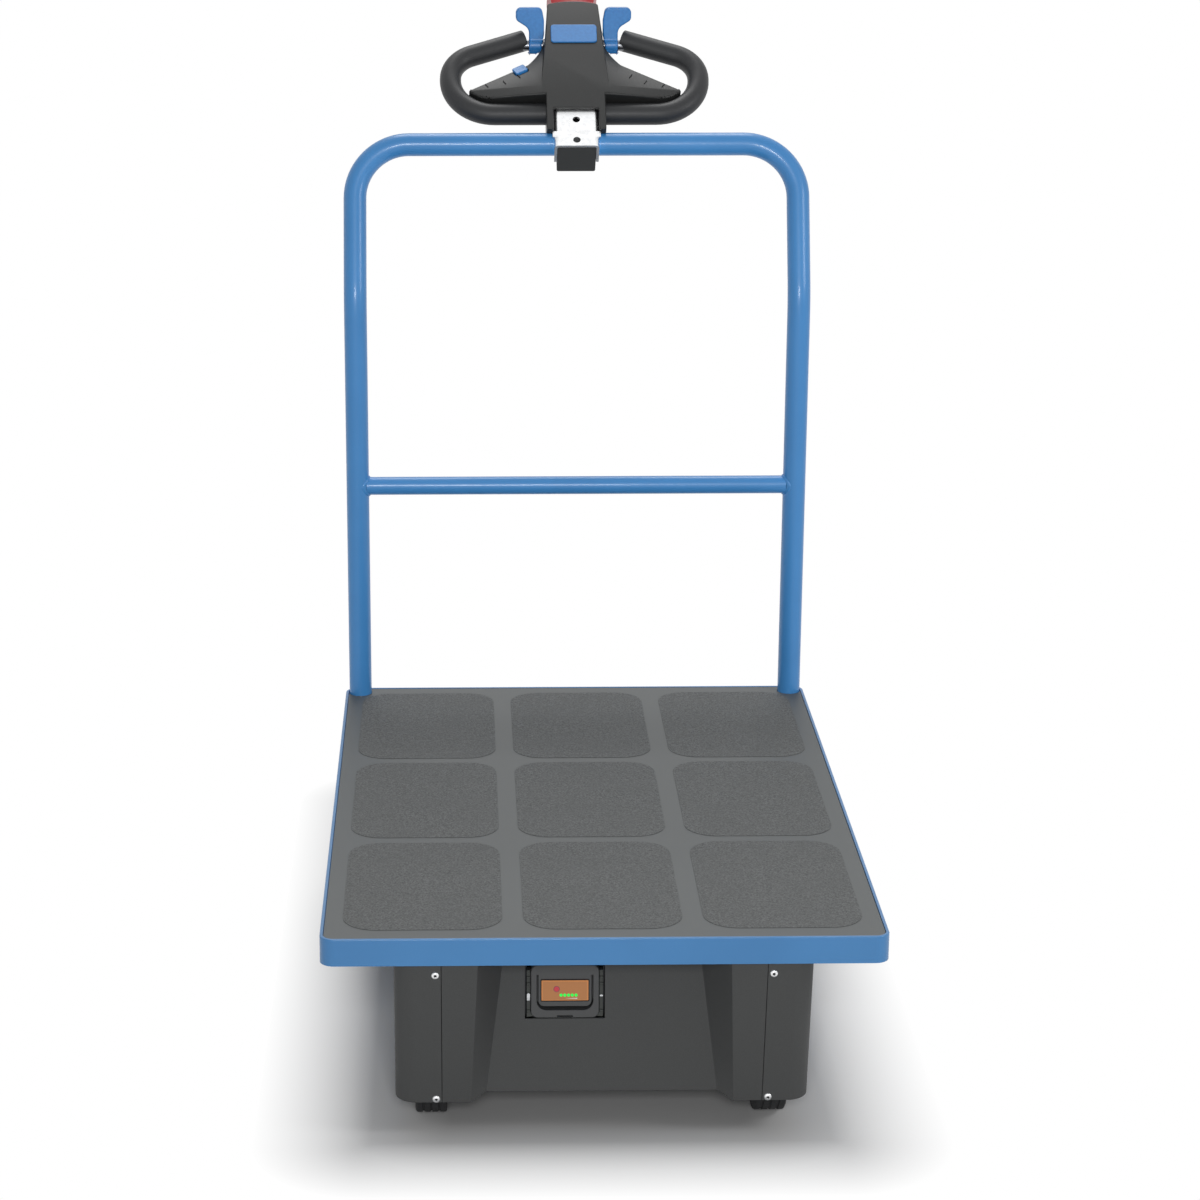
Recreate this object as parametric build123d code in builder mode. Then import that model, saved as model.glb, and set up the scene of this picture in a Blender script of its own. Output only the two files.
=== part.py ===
from build123d import *
import os
from math import asin, atan, cos, degrees, radians, sin, tan

# Electric platform truck. The handle is at +Y, the drive housing and its two driven wheels at -Y.
# Millimetres, +Z up, the floor at zero, the origin under the middle of the whole truck.

os.makedirs("parts", exist_ok=True)

# Deck: a steel pan with a low rim, and a moulded anti-slip board that lies in it
deck_width = 700.0
deck_length = 1000.0
deck_corner = 18.0
rim_wall = 4.0
rim_depth = 35.0
rim_edge_round = 1.5
pan_sheet = 2.0
board_thickness = 4.5
board_drop = 0.5
board_gap = 1.0
field_rise = 0.6
field_corner = 42.0
field_gap_x = 26.0
field_gap_y = 20.0
field_margin_x = 22.0
field_margin_front = 26.0
field_margin_back = 26.0
field_count = 3

# Handle: a bent tube whose top leans towards the user, with one crossbar
handle_tube = 33.7
handle_wall = 2.6
handle_rim_gap = 1.5
handle_hole_gap = 0.3
handle_board_gap = 0.8
handle_bend_rise = 610.0
handle_top_rise = 825.0
handle_lean = 20.0
handle_lean_bend = 150.0
handle_top_bend = 80.0
crossbar_tube = 26.9
crossbar_wall = 2.6
crossbar_rise = 325.0
foot_plate_side = 60.0
foot_plate_thickness = 3.0

# Tiller head: v runs up along the head, u across it and w out of its face, all from the top bar's axis
head_lean = 48.0
head_width = 404.0
grip_tube = 32.0
grip_low_v = 58.0
grip_corner_v = 161.0
grip_end_u = 74.0
grip_end_v = 204.0
grip_upper_bend = 49.0
grip_lower_bend = 66.0
seam = 0.3
body_half = 44.0
body_low_v = 7.0
body_back_v = 30.0
body_mouth_v = 47.0
body_face = 28.0
body_back = 28.0
body_slope_v = 150.0
nose_half = 38.5
nose_v = 262.0
nose_crest = 6.0
nose_face = 18.0
nose_back = 24.0
neck_half = 42.0
neck_v = 215.0
flare_u = 51.5
flare_v = 173.0
wing_u = 70.0
wing_v = 143.0
wing_edge_face = 14.0
crease_v = 92.0
spine_low_half = 50.0
wing_tip_face = 13.0
wing_tip_angle = 38.0
pocket_top_v = 105.0
mouth_corner = 3.0
wing_edge_round = 3.0
nose_corner_round = 5.0

# Bracket that holds the head on the top bar, and the plastic block clamped in it
bracket_half = 33.0
bracket_wall = 4.0
bracket_face = 22.0
bracket_back = 15.0
bracket_bend = 3.0
ear_reach = 2.4
ear_low_v = -4.0
ear_high_v = 6.5
bracket_low_v = -21.0
bracket_top_v = 100.0
bracket_hole = 11.0
bracket_upper_hole_v = 29.0
bracket_lower_hole_v = -10.0
block_low_v = -20.0
block_top_v = 22.0
block_back = 38.0
block_corner = 3.0

# Controls on the head
axle_tube = 16.0
axle_v = 194.0
axle_reach = 84.0
lever_hub = 23.0
lever_thickness = 16.0
lever_inner = 48.0
lever_bulge = 44.5
lever_outer = 67.0
lever_hook = 87.0
lever_top = 57.0
lever_hook_low = 38.5
lever_bulge_high = 38.0
lever_neck = 26.0
lever_bulge_low = 16.0
lever_bottom = 12.0
lever_edge = 4.0
lever_bend = 8.0
lever_neck_bend = 14.0
horn_width = 69.5
horn_length = 38.0
horn_rise = 2.5
horn_corner = 5.0
horn_v = 195.0
switch_depth = 28.0
switch_face = 16.0
switch_back = 26.0
switch_round = 9.0
switch_half = 38.0
speed_length = 20.0
speed_width = 16.0
speed_depth = 8.0
speed_rise = 2.5
speed_overhang = 3.0
speed_inset = 6.0
speed_corner = 2.5

# Chassis under the pan
member_width = 40.0
member_depth = 28.0
member_wall = 2.5
member_end_gap = 3.0
front_member_y = 132.0
middle_member_y = 400.0
rear_member_y = 650.0
castor_member_y = 850.0
rail_width = 30.0
rail_depth = 44.0
rail_wall = 2.5
rail_inset = 115.0
rail_start_y = 262.0
rail_end_y = 980.0
pad_width = 112.0
pad_length = 130.0
pad_thickness = 6.0

# Driven wheels in front, each with a hub motor on a fixed axle between two fork plates
drive_wheel = 165.0
drive_tread = 40.0
drive_hub = 120.0
drive_hub_width = 36.0
drive_cap_rise = 3.0
drive_cap = 84.0
drive_inset = 45.0
drive_axle = 20.0
drive_axle_overhang = 4.0
tyre_shoulder = 3.5
fork_plate = 5.0
fork_wheel_gap = 6.0
fork_splay = 25.0
fork_boss = 40.0
fork_crown = 6.0
running_gap = 0.05

# Housing: a recessed centre panel between two wheel pods with screwed outer covers
housing_inset = 90.0
housing_wall = 3.0
housing_front_top = 5.0
housing_front_bottom = 42.5
housing_back = 255.0
housing_bottom = 46.6
housing_corner = 27.0
panel_top_setback = 79.7
panel_bottom_setback = 54.6
panel_rise = 9.1
pod_top_width = 104.0
pod_bottom_width = 95.0
facet_top_width = 35.0
facet_bottom_width = 18.5
cover_width = 59.0
cover_seam = 0.6
pod_room = 92.0

# Battery pack, its tray, and the bay it slides out of
battery_x = -46.5
battery_proud = 1.0
battery_width = 86.0
battery_height = 68.0
battery_length = 172.0
battery_drop = 99.6
battery_corner = 9.0
bay_side_gap = 7.0
bay_top_gap = 24.0
bay_drop = 1.2
tray_sheet = 2.0
tray_gap = 0.4
tray_front_gap = 0.3
display_width = 66.5
display_height = 40.0
display_low = 15.0
groove_width = 2.5
groove_drop = 4.5
groove_depth = 14.0
screen_width = 61.0
screen_height = 26.0
screen_low = 21.5
screen_rise = 0.8
latch_gap = 0.6
latch_height = 10.0
latch_depth = 12.0
latch_low = 24.0

# Swivel castors behind
castor_inset = 135.0
castor_trail = 45.0
castor_wheel = 160.0
castor_tread = 36.0
castor_hub = 110.0
castor_web = 10.0
castor_web_hole = 18.0
castor_web_holes = 6
castor_boss = 34.0
castor_hub_width = 42.0
castor_axle = 12.0
castor_crown_gap = 18.0
castor_plate_width = 85.0
castor_plate_length = 105.0
castor_plate = 4.0
castor_plate_corner = 6.0
castor_bolt_x = 60.0
castor_bolt_y = 80.0
castor_bolt_hole = 9.0
castor_race = 72.0
castor_race_gap = 2.0
castor_race_depth = 16.0
castor_race_chamfer = 4.0
king_pin = 12.0
king_head = 22.0
king_head_depth = 7.0
king_gap = 0.5
castor_leg = 4.0
castor_leg_gap = 2.0
castor_leg_front = 30.0
castor_leg_back = 36.0
castor_boss_side = 36.0
castor_bolt_head = 20.0
castor_bolt_cap = 6.0
pedal_width = 40.0
pedal_pin = 8.0
pedal_drop = 4.0
pedal_reach = 118.0
pedal_tip_drop = 20.0
pedal_thickness = 9.0

# Where the main pieces meet, worked out from the sizes above
head_s = sin(radians(head_lean))
head_c = cos(radians(head_lean))
castor_top = castor_wheel + castor_crown_gap + castor_race_depth + castor_race_gap + castor_plate
rail_bottom = castor_top + pad_thickness
rim_bottom = rail_bottom + rail_depth
deck_height = rim_bottom + rim_depth
board_top = deck_height - board_drop
pan_top = board_top - board_thickness
pan_bottom = pan_top - pan_sheet
nose_radius = (nose_half**2 + nose_crest**2) / (2 * nose_crest)
nose_centre_v = nose_v + nose_crest - nose_radius
switch_v = nose_centre_v + nose_radius + seam + switch_depth
head_reach = (switch_v - switch_round) * head_s + (switch_back - switch_round) * head_c + switch_round
handle_inset = rim_wall + handle_rim_gap + handle_tube / 2
top_setback = (handle_top_rise - handle_bend_rise) * tan(radians(handle_lean))
truck_length = deck_length - handle_inset + top_setback + head_reach
front = -truck_length / 2
deck_mid = front + deck_length / 2
handle_x = deck_width / 2 - handle_inset
handle_y = front + deck_length - handle_inset
bar_y = handle_y + top_setback
bar_z = deck_height + handle_top_rise
rail_x = deck_width / 2 - rail_inset
castor_x = deck_width / 2 - castor_inset
housing_half = deck_width / 2 - housing_inset
drive_x = housing_half - drive_inset
cover_edge = housing_half - cover_width
pod_inner = housing_half - pod_room
facet_top_half = housing_half - pod_top_width
facet_bottom_half = housing_half - pod_bottom_width
panel_top_half = facet_top_half - facet_top_width
panel_bottom_half = facet_bottom_half - facet_bottom_width
panel_bottom = housing_bottom + panel_rise
battery_bottom = rim_bottom - battery_drop
bay_top = rim_bottom - bay_top_gap

head_plane = Plane(origin=(0, bar_y, bar_z), x_dir=(1, 0, 0), z_dir=(0, -head_c, head_s))
head_side = Plane(origin=(0, bar_y, bar_z), x_dir=(0, head_s, head_c), z_dir=(1, 0, 0))
head_end = Plane(origin=(0, bar_y, bar_z), x_dir=(1, 0, 0), z_dir=(0, -head_s, -head_c))


def head_point(u, v, w):
    """A point of the tiller head in the truck's frame."""
    return (u, bar_y + v * head_s - w * head_c, bar_z + v * head_c + w * head_s)


# Deck pan: rim, sheet and the holes for the handle's feet
with BuildPart() as deck_pan:
    with BuildSketch(Plane.XY.offset(rim_bottom)):
        with Locations((0, deck_mid)):
            RectangleRounded(deck_width, deck_length, deck_corner)
    extrude(amount=rim_depth)
    fillet(deck_pan.edges().group_by(Axis.Z)[-1], radius=rim_edge_round)
    with BuildSketch(Plane.XY.offset(pan_top)):
        with Locations((0, deck_mid)):
            RectangleRounded(deck_width - 2 * rim_wall, deck_length - 2 * rim_wall, deck_corner - rim_wall)
    extrude(amount=rim_depth, mode=Mode.SUBTRACT)
    with BuildSketch(Plane.XY.offset(rim_bottom)):
        with Locations((0, deck_mid)):
            RectangleRounded(deck_width - 2 * rim_wall, deck_length - 2 * rim_wall, deck_corner - rim_wall)
    extrude(amount=pan_bottom - rim_bottom, mode=Mode.SUBTRACT)
    with BuildSketch(Plane.XY.offset(pan_bottom)):
        with Locations((-handle_x, handle_y), (handle_x, handle_y)):
            Circle(handle_tube / 2 + handle_hole_gap)
    extrude(amount=pan_sheet, mode=Mode.SUBTRACT)
deck_pan.part.label = "deck_pan"
export_step(deck_pan.part, "parts/deck_pan.step")

# Board with its raised gritty fields, cut away round the handle's feet
board_width = deck_width - 2 * (rim_wall + board_gap)
board_length = deck_length - 2 * (rim_wall + board_gap)
field_width = (board_width - 2 * field_margin_x - (field_count - 1) * field_gap_x) / field_count
field_run = board_length - field_margin_front - field_margin_back
field_length = (field_run - (field_count - 1) * field_gap_y) / field_count
field_step_x = field_width + field_gap_x
field_step_y = field_length + field_gap_y
foot_cut = handle_tube / 2 + handle_board_gap
with BuildPart() as deck_board:
    with BuildSketch(Plane.XY.offset(pan_top)):
        with Locations((0, deck_mid)):
            RectangleRounded(board_width, board_length, deck_corner - rim_wall - board_gap)
        for side in (-1, 1):
            with Locations((side * handle_x, handle_y)):
                Circle(foot_cut, mode=Mode.SUBTRACT)
            with Locations((side * (handle_x + foot_cut), handle_y + foot_cut)):
                Rectangle(2 * foot_cut, 2 * foot_cut, mode=Mode.SUBTRACT)
    extrude(amount=board_thickness)
    with BuildSketch(Plane.XY.offset(board_top)):
        with Locations((0, deck_mid + (field_margin_front - field_margin_back) / 2)):
            with GridLocations(field_step_x, field_step_y, field_count, field_count):
                RectangleRounded(field_width, field_length, field_corner)
        for side in (-1, 1):
            with Locations((side * handle_x, handle_y)):
                Circle(foot_cut, mode=Mode.SUBTRACT)
    extrude(amount=field_rise)
deck_board.part.label = "deck_board"
export_step(deck_board.part, "parts/deck_board.step")

# Box-section cross members that hang under the pan's sheet
member_length = deck_width - 2 * (rim_wall + member_end_gap)
member_ys = (front_member_y, middle_member_y, rear_member_y, castor_member_y)
with BuildPart() as cross_members:
    for member_y in member_ys:
        with BuildSketch(Plane.YZ):
            with Locations((front + member_y, pan_bottom - member_depth / 2)):
                Rectangle(member_width, member_depth)
                Rectangle(member_width - 2 * member_wall, member_depth - 2 * member_wall, mode=Mode.SUBTRACT)
        extrude(amount=member_length / 2, both=True)
cross_members.part.label = "cross_members"
export_step(cross_members.part, "parts/cross_members.step")

# Side rails under the cross members, with the pads that the castors bolt to
with BuildPart() as side_rails:
    with BuildSketch(Plane.XZ.offset(-(front + rail_start_y))):
        with Locations((-rail_x, rim_bottom - rail_depth / 2), (rail_x, rim_bottom - rail_depth / 2)):
            Rectangle(rail_width, rail_depth)
            Rectangle(rail_width - 2 * rail_wall, rail_depth - 2 * rail_wall, mode=Mode.SUBTRACT)
    extrude(amount=-(rail_end_y - rail_start_y))
    with BuildSketch(Plane.XY.offset(castor_top)):
        with Locations((-castor_x, front + castor_member_y), (castor_x, front + castor_member_y)):
            Rectangle(pad_width, pad_length)
    extrude(amount=pad_thickness)
side_rails.part.label = "side_rails"
export_step(side_rails.part, "parts/side_rails.step")

# Handle hoop: one tube from foot to foot, and the crossbar welded between its uprights
foot_z = rim_bottom + foot_plate_thickness
bend_z = deck_height + handle_bend_rise
with BuildPart() as handle_hoop:
    with BuildLine():
        FilletPolyline(
            (-handle_x, handle_y, foot_z),
            (-handle_x, handle_y, bend_z),
            (-handle_x, bar_y, bar_z),
            (handle_x, bar_y, bar_z),
            (handle_x, handle_y, bend_z),
            (handle_x, handle_y, foot_z),
            radius=[handle_lean_bend, handle_top_bend, handle_top_bend, handle_lean_bend],
        )
    with BuildSketch(Plane(origin=(-handle_x, handle_y, foot_z), z_dir=(0, 0, 1))):
        Circle(handle_tube / 2)
        Circle(handle_tube / 2 - handle_wall, mode=Mode.SUBTRACT)
    sweep()
handle_hoop.part.label = "handle_hoop"
export_step(handle_hoop.part, "parts/handle_hoop.step")

with BuildPart() as handle_crossbar:
    with BuildSketch(Plane(origin=(0, handle_y, deck_height + crossbar_rise), z_dir=(1, 0, 0))):
        Circle(crossbar_tube / 2)
        Circle(crossbar_tube / 2 - crossbar_wall, mode=Mode.SUBTRACT)
    extrude(amount=handle_x, both=True)
    with BuildSketch(Plane.XY.offset(deck_height)):
        with Locations((-handle_x, handle_y), (handle_x, handle_y)):
            Circle(handle_tube / 2)
    extrude(amount=handle_bend_rise, mode=Mode.SUBTRACT)
handle_crossbar.part.label = "handle_crossbar"
export_step(handle_crossbar.part, "parts/handle_crossbar.step")

# Foot plates inside the rim's corners, on which the handle stands
foot_plate_x = deck_width / 2 - rim_wall - foot_plate_side / 2
foot_plate_y = front + deck_length - rim_wall - foot_plate_side / 2
with BuildPart() as foot_plates:
    with BuildSketch(Plane.XY.offset(rim_bottom)):
        with Locations((0, deck_mid)):
            RectangleRounded(deck_width - 2 * rim_wall, deck_length - 2 * rim_wall, deck_corner - rim_wall)
        with Locations((-foot_plate_x, foot_plate_y), (foot_plate_x, foot_plate_y)):
            Rectangle(foot_plate_side, foot_plate_side, mode=Mode.INTERSECT)
    extrude(amount=foot_plate_thickness)
foot_plates.part.label = "foot_plates"
export_step(foot_plates.part, "parts/foot_plates.step")

# Tiller bracket: a zinc-plated channel that straddles the top bar
bracket_inner = bracket_half - bracket_wall
bracket_inner_face = bracket_face - bracket_wall
bracket_run = bracket_top_v - bracket_low_v
with BuildPart() as tiller_bracket:
    with BuildSketch(head_end.offset(-bracket_top_v)):
        with BuildLine():
            FilletPolyline(
                (-bracket_half, -bracket_back),
                (-bracket_half, bracket_face),
                (bracket_half, bracket_face),
                (bracket_half, -bracket_back),
                radius=bracket_bend + bracket_wall,
            )
            Line((bracket_half, -bracket_back), (bracket_inner, -bracket_back))
            FilletPolyline(
                (bracket_inner, -bracket_back),
                (bracket_inner, bracket_inner_face),
                (-bracket_inner, bracket_inner_face),
                (-bracket_inner, -bracket_back),
                radius=bracket_bend,
            )
            Line((-bracket_inner, -bracket_back), (-bracket_half, -bracket_back))
        make_face()
    extrude(amount=bracket_run)
    with BuildSketch(head_plane.offset(bracket_inner_face)):
        with Locations((0, (ear_low_v + ear_high_v) / 2)):
            Rectangle(2 * (bracket_half + ear_reach), ear_high_v - ear_low_v)
    extrude(amount=bracket_wall)
    with BuildSketch(head_side):
        Circle(handle_tube / 2)
    extrude(amount=bracket_half, both=True, mode=Mode.SUBTRACT)
    with BuildSketch(head_plane.offset(bracket_inner_face)):
        with Locations((0, bracket_upper_hole_v), (0, bracket_lower_hole_v)):
            Circle(bracket_hole / 2)
    extrude(amount=bracket_wall, mode=Mode.SUBTRACT)
tiller_bracket.part.label = "tiller_bracket"
export_step(tiller_bracket.part, "parts/tiller_bracket.step")

# Plastic block clamped round the bar inside the bracket
block_half = bracket_inner - seam
block_face = bracket_inner_face - seam
with BuildPart() as bracket_block:
    with BuildSketch(head_end.offset(-block_top_v)):
        with Locations((0, (block_face - block_back) / 2)):
            RectangleRounded(2 * block_half, block_face + block_back, block_corner)
    extrude(amount=block_top_v - block_low_v)
    with BuildSketch(head_side):
        Circle(handle_tube / 2)
    extrude(amount=block_half, both=True, mode=Mode.SUBTRACT)
bracket_block.part.label = "bracket_block"
export_step(bracket_block.part, "parts/bracket_block.step")

# Head body: outline from in front, thinned to its side profile and its wings' taper, open for the bracket
grip_out = head_width / 2 - grip_tube / 2
ring_centre_u = grip_out - grip_lower_bend
ring_centre_v = grip_low_v + grip_lower_bend
wing_arc = grip_lower_bend - grip_tube / 2 - seam
wing_tip_u = ring_centre_u + wing_arc * cos(radians(wing_tip_angle))
wing_tip_v = ring_centre_v - wing_arc * sin(radians(wing_tip_angle))
wing_mid_u = ring_centre_u + wing_arc * sin(radians(wing_tip_angle) / 2)
wing_mid_v = ring_centre_v - wing_arc * cos(radians(wing_tip_angle) / 2)
wing_low_v = ring_centre_v - wing_arc


def facet_plane(side, inset):
    """The plane of a wing's upper facet, its origin that far along the upper edge and its y across it."""
    crease = Vector(*head_point(side * spine_low_half, crease_v, body_face))
    upper = Vector(*head_point(side * wing_u, wing_v, wing_edge_face))
    tip = Vector(*head_point(side * wing_tip_u, wing_tip_v, wing_tip_face))
    along = (upper - tip).normalized()
    across = (tip - crease).cross(upper - crease) * side
    return Plane(origin=upper - along * inset, x_dir=along, z_dir=across)


def edge_at(u, v, w):
    """The head body's edge nearest to a point of the head."""
    return head_body.edges().sort_by_distance(head_point(u, v, w))[0]


speed_plane = facet_plane(-1, speed_inset + speed_length / 2)
facet_cutters = []
for side in (-1, 1):
    with BuildPart() as facet_cutter:
        with BuildSketch(head_plane):
            Polygon(
                (side * spine_low_half, body_low_v),
                (side * spine_low_half, crease_v),
                (side * neck_half, neck_v),
                (side * grip_out, neck_v),
                (side * grip_out, body_low_v),
            )
        extrude(amount=2 * body_face, both=True)
        split(bisect_by=facet_plane(side, 0), keep=Keep.TOP)
    facet_cutters.append(facet_cutter.part)

with BuildPart() as head_body:
    with BuildSketch(head_plane):
        with BuildLine():
            Line((0, body_low_v), (body_half, body_low_v))
            Polyline((body_half, body_low_v), (body_half, wing_low_v), (ring_centre_u, wing_low_v))
            ThreePointArc((ring_centre_u, wing_low_v), (wing_mid_u, wing_mid_v), (wing_tip_u, wing_tip_v))
            Line((wing_tip_u, wing_tip_v), (wing_u, wing_v))
            ThreePointArc((wing_u, wing_v), (flare_u, flare_v), (neck_half, neck_v))
            Line((neck_half, neck_v), (nose_half, nose_v))
            nose_arc_u = nose_half / 2
            nose_arc_v = nose_centre_v + (nose_radius**2 - nose_arc_u**2) ** 0.5
            ThreePointArc((nose_half, nose_v), (nose_arc_u, nose_arc_v), (0, nose_v + nose_crest))
            mirror(about=Plane.YZ)
        make_face()
    extrude(amount=body_face + body_back, both=True)
    with BuildSketch(head_side):
        Polygon(
            (body_low_v, -body_back),
            (body_slope_v, -body_back),
            (nose_v + nose_crest, -nose_back),
            (nose_v + nose_crest, nose_face),
            (body_slope_v, body_face),
            (body_low_v, body_face),
        )
    extrude(amount=head_width, both=True, mode=Mode.INTERSECT)
    with BuildSketch(head_end):
        Polygon(
            (-wing_tip_u, -wing_tip_face),
            (-spine_low_half, -body_back),
            (spine_low_half, -body_back),
            (wing_tip_u, -wing_tip_face),
            (wing_tip_u, wing_tip_face),
            (spine_low_half, body_face),
            (-spine_low_half, body_face),
            (-wing_tip_u, wing_tip_face),
        )
    extrude(amount=truck_length, both=True, mode=Mode.INTERSECT)
    add(facet_cutters, mode=Mode.SUBTRACT)
    with BuildSketch(head_plane.offset(-bracket_back - seam)):
        with Locations((0, (pocket_top_v + body_low_v) / 2)):
            Rectangle(2 * (bracket_half + seam), pocket_top_v - body_low_v)
    extrude(amount=bracket_face + bracket_back + 2 * seam, mode=Mode.SUBTRACT)
    with BuildSketch(head_plane):
        with Locations((0, body_mouth_v / 2)):
            RectangleRounded(2 * (bracket_half + seam), body_mouth_v, mouth_corner)
    extrude(amount=body_face, mode=Mode.SUBTRACT)
    with BuildSketch(head_plane):
        with Locations((0, (body_back_v + body_low_v) / 2)):
            Rectangle(2 * (bracket_half + seam), body_back_v - body_low_v)
    extrude(amount=-body_back, mode=Mode.SUBTRACT)
    with BuildSketch(head_side):
        with Locations((axle_v, 0)):
            Circle(axle_tube / 2)
        Circle(handle_tube / 2)
    extrude(amount=axle_reach, both=True, mode=Mode.SUBTRACT)
    with BuildSketch(speed_plane.offset(-speed_depth)):
        with Locations((0, speed_overhang - speed_width / 2)):
            RectangleRounded(speed_length + 2 * seam, speed_width + 2 * seam, speed_corner)
    extrude(amount=2 * speed_depth, mode=Mode.SUBTRACT)
    fillet(
        [
            edge_at(side * u, v, w)
            for side in (-1, 1)
            for u, v, w in (
                ((spine_low_half + ring_centre_u) / 2, wing_low_v, (body_face + wing_tip_face) / 2),
                (wing_mid_u, wing_mid_v, wing_tip_face),
            )
        ],
        radius=wing_edge_round,
    )
    fillet(
        [edge_at(side * nose_half, nose_v, (nose_face - nose_back) / 2) for side in (-1, 1)],
        radius=nose_corner_round,
    )
head_body.part.label = "head_body"
export_step(head_body.part, "parts/head_body.step")

# Hand grips: rings cut at their inner upper ends, seated on the body's sides and on the lever shaft
for side, side_name in ((-1, "left"), (1, "right")):
    with BuildPart() as grip:
        with BuildLine(head_plane):
            FilletPolyline(
                (side * body_half, grip_low_v),
                (side * grip_out, grip_low_v),
                (side * grip_out, grip_corner_v),
                (side * grip_end_u, grip_end_v),
                radius=[grip_lower_bend, grip_upper_bend],
            )
        with BuildSketch(Plane(origin=head_point(side * body_half, grip_low_v, 0), z_dir=(side, 0, 0))):
            Circle(grip_tube / 2)
        sweep()
        with BuildSketch(head_side):
            with Locations((axle_v, 0)):
                Circle(axle_tube / 2)
        extrude(amount=side * axle_reach, mode=Mode.SUBTRACT)
    grip.part.label = f"grip_{side_name}"
    export_step(grip.part, f"parts/{grip.part.label}.step")

# Lever shaft across the head
with BuildPart() as lever_shaft:
    with BuildSketch(head_side):
        with Locations((axle_v, 0)):
            Circle(axle_tube / 2)
    extrude(amount=axle_reach, both=True)
lever_shaft.part.label = "lever_shaft"
export_step(lever_shaft.part, "parts/lever_shaft.step")

# Thumb levers: upright paddles on the shaft, hooked outwards at the top
lever_outline = (
    # across, up from the shaft, round
    (lever_inner + lever_bend, -lever_bottom, lever_edge),
    (lever_outer, -lever_bottom, lever_edge),
    (lever_outer, lever_neck, lever_neck_bend),
    (lever_hook, lever_hook_low, lever_bend),
    (lever_hook, lever_top, lever_bend),
    (lever_inner, lever_top, lever_bend),
    (lever_bulge, lever_bulge_high, lever_bend),
    (lever_bulge, lever_bulge_low, lever_bend),
    (lever_inner, 0, lever_bend),
)
for side, side_name in ((-1, "left"), (1, "right")):
    with BuildPart() as lever:
        with BuildSketch(Plane(origin=head_point(0, axle_v, 0), x_dir=(1, 0, 0), z_dir=(0, -1, 0))):
            with BuildLine():
                FilletPolyline(
                    *[(side * across, up) for across, up, rounding in lever_outline],
                    radius=[rounding for across, up, rounding in lever_outline],
                    close=True,
                )
            make_face()
        extrude(amount=lever_thickness / 2, both=True)
        with BuildSketch(head_side.offset(side * lever_inner)):
            with Locations((axle_v, 0)):
                Circle(lever_hub / 2)
        extrude(amount=side * (lever_outer - lever_inner))
        with BuildSketch(head_side):
            with Locations((axle_v, 0)):
                Circle(axle_tube / 2)
        extrude(amount=side * head_width, mode=Mode.SUBTRACT)
    lever.part.label = f"lever_{side_name}"
    export_step(lever.part, f"parts/{lever.part.label}.step")

# Horn button, seated on the nose's sloping face
slope = (body_face - nose_face) / (nose_v + nose_crest - body_slope_v)
slope_angle = head_lean + degrees(asin(slope / (1 + slope**2) ** 0.5))
horn_w = body_face - slope * (horn_v - body_slope_v)
horn_normal = (0, -cos(radians(slope_angle)), sin(radians(slope_angle)))
with BuildPart() as horn_button:
    with BuildSketch(Plane(origin=head_point(0, horn_v, horn_w), x_dir=(1, 0, 0), z_dir=horn_normal)):
        RectangleRounded(horn_width, horn_length, horn_corner)
    extrude(amount=horn_rise)
    fillet(horn_button.faces().sort_by(Axis((0, 0, 0), horn_normal))[-1].edges(), radius=horn_rise / 2)
horn_button.part.label = "horn_button"
export_step(horn_button.part, "parts/horn_button.step")

# Belly switch: a padded cap that follows the nose's arc
switch_angle = degrees(asin(switch_half / (nose_radius + seam + switch_depth)))
switch_axis = Axis(head_point(0, nose_centre_v, 0), (0, -head_c, head_s))
with BuildPart() as belly_switch:
    with BuildSketch(head_side):
        with Locations((switch_v - switch_depth / 2, (switch_face - switch_back) / 2)):
            RectangleRounded(switch_depth, switch_face + switch_back, switch_round)
    revolve(axis=switch_axis, revolution_arc=switch_angle)
    with BuildSketch(head_side):
        with Locations((switch_v - switch_depth / 2, (switch_face - switch_back) / 2)):
            RectangleRounded(switch_depth, switch_face + switch_back, switch_round)
    revolve(axis=switch_axis, revolution_arc=-switch_angle)
belly_switch.part.label = "belly_switch"
export_step(belly_switch.part, "parts/belly_switch.step")

# Speed button, let into the left wing's upper edge
with BuildPart() as speed_button:
    with BuildSketch(speed_plane.offset(seam - speed_depth)):
        with Locations((0, speed_overhang - speed_width / 2)):
            RectangleRounded(speed_length, speed_width, speed_corner)
    extrude(amount=speed_depth + speed_rise)
speed_button.part.label = "speed_button"
export_step(speed_button.part, "parts/speed_button.step")

# Housing shell: two wheel pods and the recessed panel between them
front_slope = (housing_front_bottom - housing_front_top) / (rim_bottom - housing_bottom)


def pod_front(level):
    """How far behind the rim the pods' front face lies at a level."""
    return housing_front_top + (rim_bottom - level) * front_slope


def panel_front(level):
    """How far behind the rim the centre panel lies at a level."""
    share = (rim_bottom - level) / (rim_bottom - panel_bottom)
    return panel_top_setback + share * (panel_bottom_setback - panel_top_setback)


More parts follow.
